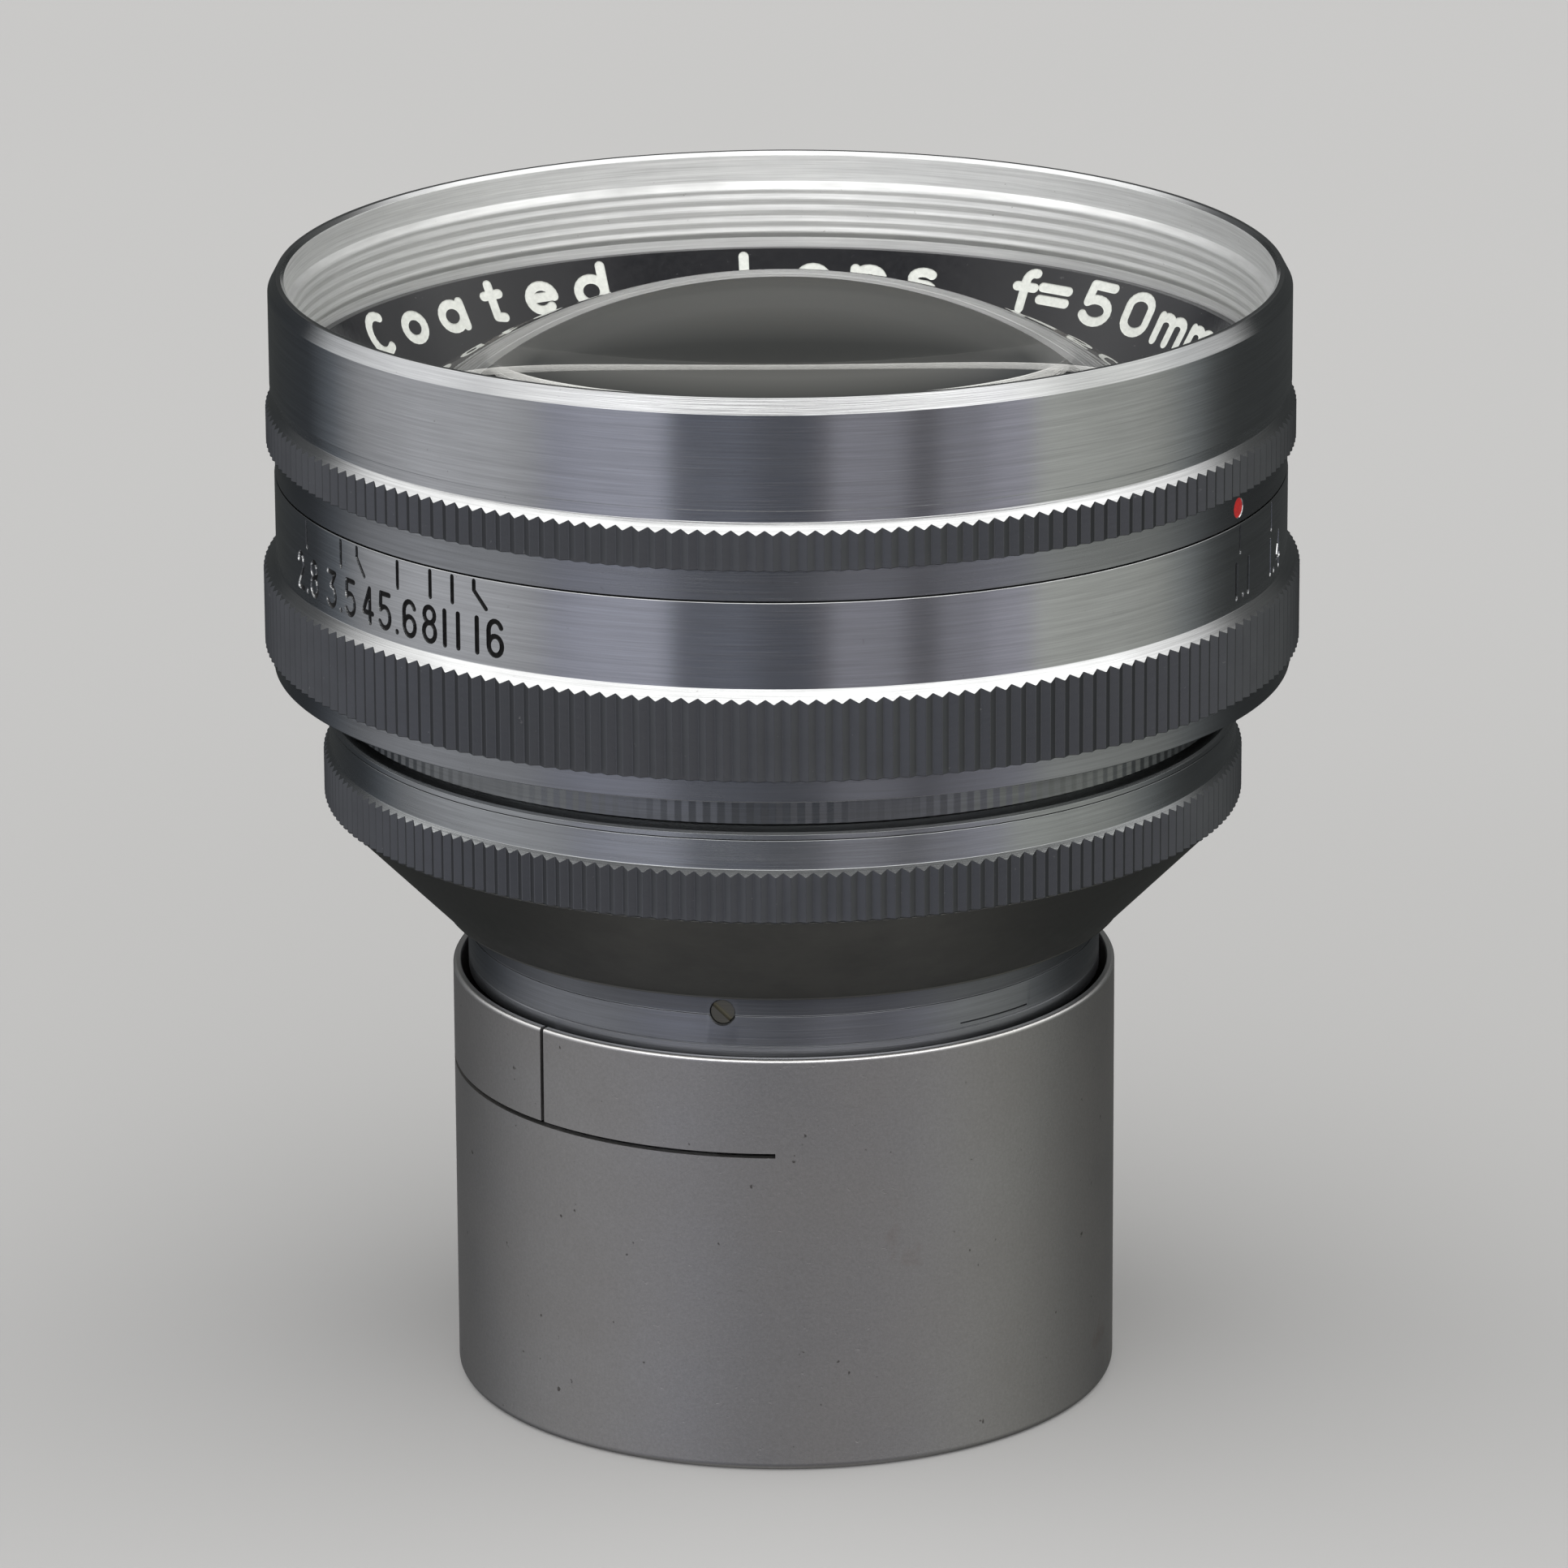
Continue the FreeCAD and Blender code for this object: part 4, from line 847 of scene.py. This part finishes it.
def scale_strokes(radius):
    """Strokes of the stop numbers and their ticks, engraved twice round the band."""
    strokes = []
    for turn in (0.0, SCALE_REPEAT):
        for text, (tick, middle, bend) in SCALE_STOPS.items():
            top = around(tick + turn, radius)
            foot = around(tick + turn + bend, radius)
            if bend:
                strokes.append((line((top, TICK_TOP), (top, TICK_BEND)), TICK_STROKE / 2))
                strokes.append((line((top, TICK_BEND), (foot, TICK_FOOT)), TICK_STROKE / 2))
            else:
                strokes.append((line((top, TICK_TOP), (foot, TICK_FOOT)), TICK_STROKE / 2))
            sizes = []
            for character in text:
                size = GLYPHS[character][0] * (NUMBER_WIDTH - NUMBER_STROKE) + NUMBER_STROKE
                sizes.append(size + (2 * NUMBER_BEARING if character == "1" else 0.0))
            place = around(middle + turn, radius) - (sum(sizes) + NUMBER_GAP * (len(text) - 1)) / 2
            for character, size in zip(text, sizes):
                strokes += glyph_strokes(character, place + size / 2, NUMBER_LOW, NUMBER_WIDTH,
                                         NUMBER_HEIGHT, NUMBER_STROKE)
                place += size + NUMBER_GAP
    return strokes


def name_strokes(radius):
    """Strokes of the words on the name ring, tops outwards."""
    strokes = []
    for word, azimuth in NAME_WORDS.items():
        for character in word:
            strokes += glyph_strokes(character, around(azimuth, radius), LETTER_TOP + LETTER_HEIGHT,
                                     LETTER_WIDTH, LETTER_HEIGHT, LETTER_STROKE, -1.0)
            azimuth -= LETTER_PITCH * (THIN_LETTER_SHARE if character in "1:f" else 1.0)
    return strokes


# ------------ turned pieces

def bevel_height(radii, start, end):
    """Heights at which a bevel from start to end cuts the given radii."""
    return start[1] + (start[0] - radii) * (end[1] - start[1]) / (start[0] - end[0])


def aperture_ring(paint):
    """Turning ring with its knurl and the two scales."""
    low, high, reach = extent("aperture_ring")
    knurl = Knurl(reach, APERTURE_ROOT)
    star = knurl.radii
    recess, recess_z = APERTURE_RECESS
    band, _ = APERTURE_BAND
    # The band under the knurl takes the chrome darkened as painted shade.
    turning = Turning(knurl).outline([
        (APERTURE_BORE, low, 0), (APERTURE_SKIRT, low, 0.1), (APERTURE_SKIRT, APERTURE_FOOT_Z, 0),
        (star - KNURL_FOOT, APERTURE_FOOT_Z, 0), (star, APERTURE_FOOT_Z + KNURL_FOOT, 0),
        (star, bevel_height(star, APERTURE_BEVEL, APERTURE_BAND), 0), (*APERTURE_BAND, 0.08),
        (band, high, 0.05), (recess, high, 0.05), (recess, recess_z, 0), (APERTURE_BORE, recess_z, 0),
    ], {1: DULL_SHADE_PAINT, 3: TOOTH_PAINT, 4: TOOTH_PAINT})
    steps = [(1.0, 0.0), (0.86, NUMBER_DEPTH)]
    turning.build([Strip(6, band, scale_strokes(band), steps, (0, ENGRAVED_PAINT))])
    return turning.piece("aperture_ring_turned", "aperture", "aperture_ring", "chrome",
                         [paint["chrome"], paint["teeth"], paint["dull"], paint["engraving"]])


def index_ring(paint):
    """Fixed ring with its knurl, bevel and the two dimples for the index dots."""
    low, high, reach = extent("index_ring")
    knurl = Knurl(reach, INDEX_ROOT)
    star = knurl.radii
    recess, recess_z = INDEX_RECESS
    # The band under the knurl takes the chrome darkened as painted shade.
    turning = Turning(knurl).outline([
        (INDEX_BORE, low, 0), (INDEX_BAND, low, 0.05), (INDEX_BAND, INDEX_FOOT_Z, 0),
        (star - KNURL_FOOT, INDEX_FOOT_Z, 0), (star, INDEX_FOOT_Z + KNURL_FOOT, 0),
        (star, bevel_height(star, INDEX_BEVEL, INDEX_COLLAR), 0), (*INDEX_COLLAR, 0.06),
        (INDEX_COLLAR[0], high, 0.05), (recess, high, 0.03), (recess, recess_z, 0),
        (INDEX_BORE, recess_z, 0),
    ], {1: DULL_SHADE_PAINT, 3: TOOTH_PAINT, 4: TOOTH_PAINT})
    dots = []
    for azimuth in DOT_AZIMUTHS:
        place = around(azimuth, INDEX_BAND)
        dots.append((line((place, DOT_UP - 0.005), (place, DOT_UP + 0.005)), DOT_RADIUS))
    steps = [(1.06, 0.0), (1.0, 0.05), (0.985, 0.36)]
    turning.build([Strip(1, INDEX_BAND, dots, steps, (0, 0))])
    return turning.piece("index_ring_turned", "lens", "index_ring", "chrome",
                         [paint["chrome"], paint["teeth"], paint["dull"]])


def rear_knurled_ring(paint):
    """Lower ring with its knurl below a smooth band."""
    low, high, _ = extent("rear_knurled_ring")
    knurl = Knurl(REAR_TIP, REAR_ROOT)
    star = knurl.radii
    turning = Turning(knurl).outline([
        (REAR_BORE, low, 0), (star - 0.1, low, 0), (star, low + 0.1, 0),
        (star, bevel_height(star, REAR_BEVEL, REAR_BAND), 0), (*REAR_BAND, 0.08),
        (REAR_BAND[0], high, 0.05), (REAR_BORE, high, 0),
    ], {1: TOOTH_PAINT, 2: TOOTH_PAINT}).build()
    return turning.piece("rear_knurled_ring_turned", "lens", "rear_knurled_ring", "chrome",
                         [paint["rear"], paint["teeth"]])


def neck_ring(paint):
    """Recessed ring with a groove at its foot and fine flutes above it."""
    low, high, reach = extent("neck_ring")
    knurl = Knurl(reach, reach - NECK_FLUTE)
    star = knurl.radii
    groove, step = NECK_GROOVE
    turning = Turning(knurl).outline([
        (REAR_BORE, low, 0), (groove, low, 0.03), (groove, step, 0.03), (star - KNURL_FOOT, step, 0),
        (star, step + KNURL_FOOT, 0), (star, high - KNURL_FOOT, 0), (star - KNURL_FOOT, high, 0),
        (REAR_BORE, high, 0),
    ], {4: TOOTH_PAINT}).build()
    return turning.piece("neck_ring_turned", "lens", "neck_ring", "chrome_dark",
                         [paint["neck"], paint["neck"]])


def plain_ring(node, slot, corners, materials, paints=()):
    """A ring of the lens without knurl or engraving."""
    turning = Turning().outline(corners, paints).build()
    return turning.piece(node + "_turned", "lens", node, slot, materials)


def lip_ring(paint):
    """Thin bevelled ring on the rear knurled ring."""
    low, high, reach = extent("lip_ring")
    plain_ring("lip_ring", "chrome", [
        (REAR_BORE, low, 0), (reach, low, 0.03), (reach, high - LIP_BEVEL, 0.03),
        (reach - LIP_BEVEL, high, 0.03), (REAR_BORE, high, 0),
    ], [paint["rear"]])


def mount_cone(paint):
    """Dark cone that widens from the collar to the rear knurled ring, with a spigot on top."""
    low, high, reach = extent("mount_cone")
    inside, _ = CONE_INSIDE_TOP
    plain_ring("mount_cone", "chrome_dark", [
        (CONE_BORE, low, 0), (CONE_FOOT[0], low, 0.04), (*CONE_FOOT, 0.06), (reach, CONE_TOP_Z, 0.05),
        (CONE_SPIGOT, CONE_TOP_Z, 0), (CONE_SPIGOT, high, 0), (inside, high, 0), (*CONE_INSIDE_TOP, 0),
        (CONE_BORE, CONE_INSIDE_LOW_Z, 0),
    ], [paint["cone"]])


def front_rim(paint):
    """Smooth rim with its bevelled lip and the filter thread's ridges inside."""
    low, high, reach = extent("front_rim")
    thread = []
    for turn in range(THREAD_TURNS):
        crest = THREAD_FIRST_Z - THREAD_PITCH * turn
        thread += [(THREAD_CREST, crest, 0.35), (THREAD_ROOT, crest - THREAD_PITCH / 2, 0.35)]
    thread[-1] = (RIM_BORE, thread[-1][1], 0)
    outer_lip, inner_lip = RIM_LIP
    mouth_top, mouth_low = RIM_MOUTH_Z
    inside = range(5, 7 + len(thread))
    # The inside of the rim takes the chrome made lighter as painted light.
    plain_ring("front_rim", "chrome", [
        (RIM_BORE, low, 0), (reach, low, 0.1), (reach, RIM_BEVEL_Z, 0.07), (outer_lip, high, 0.08),
        (inner_lip, high, 0.07), (RIM_MOUTH, mouth_top, 0.07), (RIM_MOUTH, mouth_low, 0.06), *thread,
    ], [paint["chrome"], paint["bore"]], {corner: 1 for corner in inside})


def name_ring(paint):
    """Black funnel with white lettering."""
    low, high, reach = extent("name_ring")
    seat, seat_z = NAME_SEAT
    turning = Turning().outline([
        (NAME_BORE, low, 0), (seat, low, 0), (seat, seat_z, 0), (reach, seat_z, 0), (reach, high, 0),
        (NAME_OUTER, high, 0.05), (NAME_BORE, NAME_INNER_Z, 0.06),
    ])
    steps = [(1.0, 0.0), (0.88, LETTER_DEPTH)]
    turning.build([Strip(5, NAME_UNROLLED, name_strokes(NAME_UNROLLED), steps, (1, 1))])
    return turning.piece("name_ring_lettered", "lens", "name_ring", "black_gloss",
                         [paint["gloss"], paint["letters"]])


def carve(piece, cutters):
    """Cuts other meshes out of a piece and shades it smooth between its real edges."""
    for cutter in cutters:
        cut = piece.modifiers.new("cut", "BOOLEAN")
        cut.operation = "DIFFERENCE"
        cut.solver = "EXACT"
        cut.object = cutter
    weigh = piece.modifiers.new("weigh", "WEIGHTED_NORMAL")
    weigh.keep_sharp = True
    piece.data.set_sharp_from_angle(angle=math.radians(SOFT_ANGLE))
    depsgraph = bpy.context.evaluated_depsgraph_get()
    mesh = bpy.data.meshes.new_from_object(piece.evaluated_get(depsgraph))
    mesh.name = piece.data.name + "_cut"
    piece.modifiers.clear()
    piece.data = mesh
    for cutter in cutters:
        bpy.data.objects.remove(cutter)
    return piece


def loft(name, rings):
    """Closed cutter through rings of points, in millimetres, with flat ends."""
    count, size = len(rings), len(rings[0])
    faces = [tuple(range(size))[::-1], tuple(range((count - 1) * size, count * size))]
    for ring in range(count - 1):
        a, b = ring * size, (ring + 1) * size
        faces += [(a + n, a + (n + 1) % size, b + (n + 1) % size, b + n) for n in range(size)]
    mesh = bpy.data.meshes.new(name)
    mesh.from_pydata((np.vstack(rings) * MM).tolist(), [], faces)
    return linked(name, mesh)


def wall_sector(name, inner, outer, low, high, middle, half_span, steps):
    """Curved cutter between two radii and heights, half_span degrees each side of an azimuth."""
    radii, heights = np.array([(inner, low), (inner, high), (outer, high), (outer, low)]).T
    turns = np.radians(np.linspace(middle - half_span, middle + half_span, steps + 1) - 90.0)
    return loft(name, [swung(radii, turn, heights) for turn in turns])


def round_hole(name, radius, mouth, start, surface, azimuth, height):
    """Round cutter along a radius, widening to the mouth at the surface."""
    turn = math.radians(azimuth - 90.0)
    outward = np.array([math.cos(turn), math.sin(turn), 0])
    across = np.array([-math.sin(turn), math.cos(turn), 0])
    up = np.array([0, 0, 1])
    angles = np.radians(np.arange(0, 360, 9))[:, None]
    circle = across * np.cos(angles) + up * np.sin(angles)
    sizes = ((start, radius), (surface - 0.02, radius), (surface + 0.06, mouth), (surface + 1.0, mouth))
    return loft(name, [outward * reach + up * height + circle * size for reach, size in sizes])


def rear_cap(paint):
    """Cup with a rounded rim and two T slits."""
    low, high, reach = extent("rear_cap")
    shoulder, shoulder_z = CAP_SHOULDER
    turning = Turning().outline([
        (0, low, 0), (reach, low, 0.5), (reach, high, 0.35), (CAP_BORE, high, 0.08),
        (CAP_BORE, shoulder_z, 0), (shoulder, shoulder_z, 0.1), (shoulder, CAP_FLOOR, 0.3),
        (0, CAP_FLOOR, 0),
    ]).build()
    cap = turning.piece("rear_cap_slit", "cap", "rear_cap", "cap_satin", [paint["cap"]])
    inner, outer = CAP_BORE - 0.55, reach + 0.75
    slit_low, slit_high = CAP_SLIT_Z
    half = math.degrees(CAP_SLIT_WIDTH / 2 / reach)
    cutters = []
    for azimuth in CAP_SLIT_AZIMUTHS:
        cutters.append(wall_sector("across", inner, outer, slit_low, slit_high, azimuth,
                                   CAP_SLIT_HALF_SPAN, 60))
        cutters.append(wall_sector("upright", inner, outer, (slit_low + slit_high) / 2, high + 1.0,
                                   azimuth, half, 2))
    return carve(cap, cutters)


def bayonet_collar(paint):
    """Bright collar with three screw holes, a seam and a short slot."""
    low, high, reach = extent("bayonet_collar")
    seam, notch = COLLAR_SEAM_Z, COLLAR_SEAM_DEPTH
    upper = reach - COLLAR_BAND_STEP
    # The upper band, under the cone's foot, takes the darker copy of the chrome as painted shade.
    turning = Turning().outline([
        (COLLAR_BORE, low, 0), (reach - 0.2, low, 0.03), (reach, low + 0.2, 0.04),
        (reach, seam - notch, 0.02), (reach - notch, seam, 0.01), (reach, seam + notch, 0.02),
        (reach, COLLAR_BAND_Z, 0.03), (upper, COLLAR_BAND_Z + COLLAR_BAND_STEP / 2, 0.03),
        (reach, high - 0.45, 0.05), (reach - 0.4, high, 0.05), (COLLAR_BORE, high, 0),
    ], {7: 1, 8: 1}).build()
    collar = turning.piece("bayonet_collar_turned", "lens", "bayonet_collar", "chrome",
                           [paint["collar"], paint["collar_top"]])
    cutters = [wall_sector("slot", reach - 0.25, reach + 1.0, *COLLAR_SLOT_Z, 41.0, 8.0, 24)]
    for azimuth in COLLAR_SCREW_AZIMUTHS:
        cutters.append(round_hole("screw_hole", COLLAR_SCREW_HOLE, COLLAR_SCREW_MOUTH, 18.0, upper,
                                  azimuth, COLLAR_SCREW_Z))
    return carve(collar, cutters)


def front_glass(paint):
    """Domed front element with exact spherical faces."""
    _, high, reach = extent("glass_1_front_dome")
    front_curve, rear_curve = DOME_FACES
    turning = Turning()
    for apex, curve, steps, outward in ((DOME_REAR_Z, rear_curve, 16, -1), (high, front_curve, 48, 1)):
        turns = np.linspace(0, math.asin(reach / curve), steps + 1)[::outward * -1]
        normals = table(np.sin(turns), np.cos(turns)) * outward
        for n, turn in enumerate(turns):
            turning.row(curve * math.sin(turn), apex - curve * (1 - math.cos(turn)))
            if n < steps:
                ground = outward < 0 and curve * math.sin(turn) > GROUND_RADIUS
                turning.edge(normals[n], normals[n + 1], 1 if ground else 0)
            elif outward < 0:
                turning.edge(np.array([1.0, 0.0]), np.array([1.0, 0.0]), 1)
            else:
                turning.edge(normals[n], normals[n], 0)
    turning.build()
    return turning.piece("front_glass_ground", "lens", "glass_1_front_dome", "coated_glass",
                         [paint["dome"], paint["ground"]])


def dress_inner_nodes(paint):
    """New materials on the CAD nodes that stay."""
    by_slot = {
        "chrome": "chrome", "chrome_dark": "neck", "cap_satin": "cap", "black_metal": "black",
        "black_gloss": "gloss", "blade_steel": "blades", "screw_steel": "screws",
        "shim_brass": "brass", "red_paint": "red", "coated_glass": "glass",
    }
    slots = {part["node"]: part["material_slot"] for part in frame["record"]["subparts"]}
    for node, piece in frame["nodes"].items():
        if piece.hide_render:
            continue
        piece.data.materials.clear()
        own = "spacer" if node == "front_spacer" else by_slot[slots[node]]
        piece.data.materials.append(paint[own])


# ------------ light, floor and camera

STUDIO_LEVELS = {
    -160: 0.05, -131: 0.052, -120: 0.16, -108: 0.41, -100: 0.5, -88: 0.61, -76: 0.58, -66: 0.55,
    -58: 0.46, -52: 0.41, -43: 0.47, -27: 0.475, -23: 0.14, -10: 0.16, -2: 0.1, 5: 0.1,
    10: 0.16, 12: 0.31, 26: 0.28, 30: 0.13, 34: 0.13, 37: 0.27, 45: 0.3, 49: 0.41,
    57: 0.45, 60: 0.55, 84: 0.49, 94: 0.41, 104: 0.25, 113: 0.1, 122: 0.056, 160: 0.05,
}
"""Brightness of the soft boxes and the gaps between them, by azimuth round the object."""
STUDIO_TINTS = {
    -160: (0.96, 1.02, 1.02), -110: (0.90, 0.99, 1.11), -55: (0.98, 0.99, 1.03),
    -24: (0.93, 0.95, 1.12), 8: (0.88, 0.94, 1.18), 58: (0.96, 0.95, 1.09),
    100: (1.01, 1.03, 0.96), 180: (0.96, 1.02, 1.02),
}
"""Tint of each stretch of azimuths, by the azimuth where it ends."""
BACK_WALL = 0.1
OVERHEAD = 2.2
FRONT_BOX = 2.0
WIDE_BOX = 0.6
UNDERLIGHT = 0.6
# Where each light is dark and where it is full, in degrees.
SIDE_FOOT, SIDE_TOP = (-65.0, -50.0), (44.0, 24.0)
BEHIND, WALL_FOOT, WALL_TOP = (118.0, 145.0), (12.0, 24.0), (78.0, 64.0)
OVERHEAD_FOOT, FRONT_SINK = (24.0, 50.0), (100.0, 40.0)
OVERHEAD_SINK = 18.0        # how far the overhead reaches down less in front
BOX_FOOT, BOX_TOP, NEAR_BOX_SIDE, WIDE_BOX_SIDE = (2.0, 12.0), (44.0, 34.0), (75.0, 35.0), (132.0, 120.0)
UNDERLIGHT_TOP = (-58.0, -76.0)

FLOOR_HALF = 6.0            # metres
CAMERA_LIFT = 17.29
CAMERA_ROLL = -0.309
CAMERA_DISTANCE = 0.6124
CAMERA_AIM = (0.00007, 0.0, 0.03877)
CAMERA_LENS = 219.8


def studio_world():
    """Soft boxes round the object, an overhead, two front boxes, a back wall and an underlight."""
    world = bpy.data.worlds.new("studio")
    bpy.context.scene.world = world
    world.use_nodes = True
    nodes = Nodes(world.node_tree)
    calc, times, span = nodes.math, nodes.times, nodes.span

    x, y, z = nodes.parts(nodes.add("ShaderNodeTexCoord").outputs["Generated"])
    azimuth = times(calc("ARCTAN2", x, times(y, -1.0)), 180 / math.pi)
    elevation = times(calc("ARCSINE", z), 180 / math.pi)
    aside = calc("ABSOLUTE", azimuth)

    whole_turn = calc("DIVIDE", calc("ADD", azimuth, 180.0), 360.0)
    boxes = nodes.add("ShaderNodeValToRGB", Fac=whole_turn)
    ramp = boxes.color_ramp
    while len(ramp.elements) < len(STUDIO_LEVELS):
        ramp.elements.new(0.5)
    for element, (angle, level) in zip(ramp.elements, STUDIO_LEVELS.items()):
        element.position = (angle + 180) / 360
        tint = next(colour for end, colour in STUDIO_TINTS.items() if angle <= end)
        element.color = tuple(level * channel for channel in tint) + (1.0,)

    side_part = times(span(elevation, *SIDE_FOOT), span(elevation, *SIDE_TOP))
    behind = span(aside, *BEHIND)
    below_top = span(elevation, *WALL_TOP)
    lowered = calc("SUBTRACT", elevation, times(span(aside, *FRONT_SINK), OVERHEAD_SINK))
    open_part = calc("SUBTRACT", 1.0, times(behind, below_top))
    over = times(span(lowered, *OVERHEAD_FOOT), OVERHEAD, open_part)
    wall = times(behind, span(elevation, *WALL_FOOT), below_top, BACK_WALL)
    near = times(span(aside, *NEAR_BOX_SIDE), FRONT_BOX)
    wide = times(span(aside, *WIDE_BOX_SIDE), WIDE_BOX)
    front = times(span(elevation, *BOX_FOOT), span(elevation, *BOX_TOP), calc("ADD", near, wide))
    under = times(span(elevation, *UNDERLIGHT_TOP), UNDERLIGHT)
    rest = calc("ADD", calc("ADD", over, wall), calc("ADD", front, under))

    sides = nodes.add("ShaderNodeBackground", Color=boxes.outputs[0], Strength=side_part)
    others = nodes.add("ShaderNodeBackground", Color=(1.0, 0.99, 0.97, 1.0), Strength=rest)
    both = nodes.add("ShaderNodeAddShader", i0=sides.outputs[0], i1=others.outputs[0])
    nodes.tree.links.new(both.outputs[0], nodes.tree.nodes["World Output"].inputs["Surface"])


def pale_floor():
    """Large pale floor that the metal and the glass don't mirror."""
    mesh = bpy.data.meshes.new("floor")
    corners = [(x * FLOOR_HALF, y * FLOOR_HALF, 0) for x, y in ((-1, -1), (1, -1), (1, 1), (-1, 1))]
    mesh.from_pydata(corners, [], [(0, 1, 2, 3)])
    floor = linked("floor", mesh)
    recipe = Recipe("floor_pale", Roughness=0.9)
    recipe.link("Base Color", recipe.mix(recipe.noise(3.0, 3.0), grey(0.42), grey(0.46)))
    mesh.materials.append(recipe.material)
    floor.visible_glossy = False
    floor.visible_transmission = False


def photo_camera():
    """Camera at the photograph's viewing angle."""
    lift = math.radians(CAMERA_LIFT)
    data = bpy.data.cameras.new("camera")
    data.sensor_width = 36.0
    data.lens = CAMERA_LENS
    data.clip_start = 0.05
    data.clip_end = 20.0
    camera = linked("camera", data)
    back = Vector((0, -math.cos(lift), math.sin(lift)))
    camera.location = Vector(CAMERA_AIM) + back * CAMERA_DISTANCE
    roll = Matrix.Rotation(math.radians(CAMERA_ROLL), 4, "Z")
    camera.rotation_euler = (Matrix.Rotation(math.pi / 2 - lift, 4, "X") @ roll).to_euler()
    bpy.context.scene.camera = camera


def build():
    """The whole scene."""
    paint = make_materials()
    for make in (aperture_ring, index_ring, rear_knurled_ring, neck_ring, lip_ring, mount_cone,
                 front_rim, name_ring, front_glass, bayonet_collar, rear_cap, dress_inner_nodes):
        make(paint)
    studio_world()
    pale_floor()
    photo_camera()
    bpy.context.scene.view_settings.view_transform = "Standard"


build()
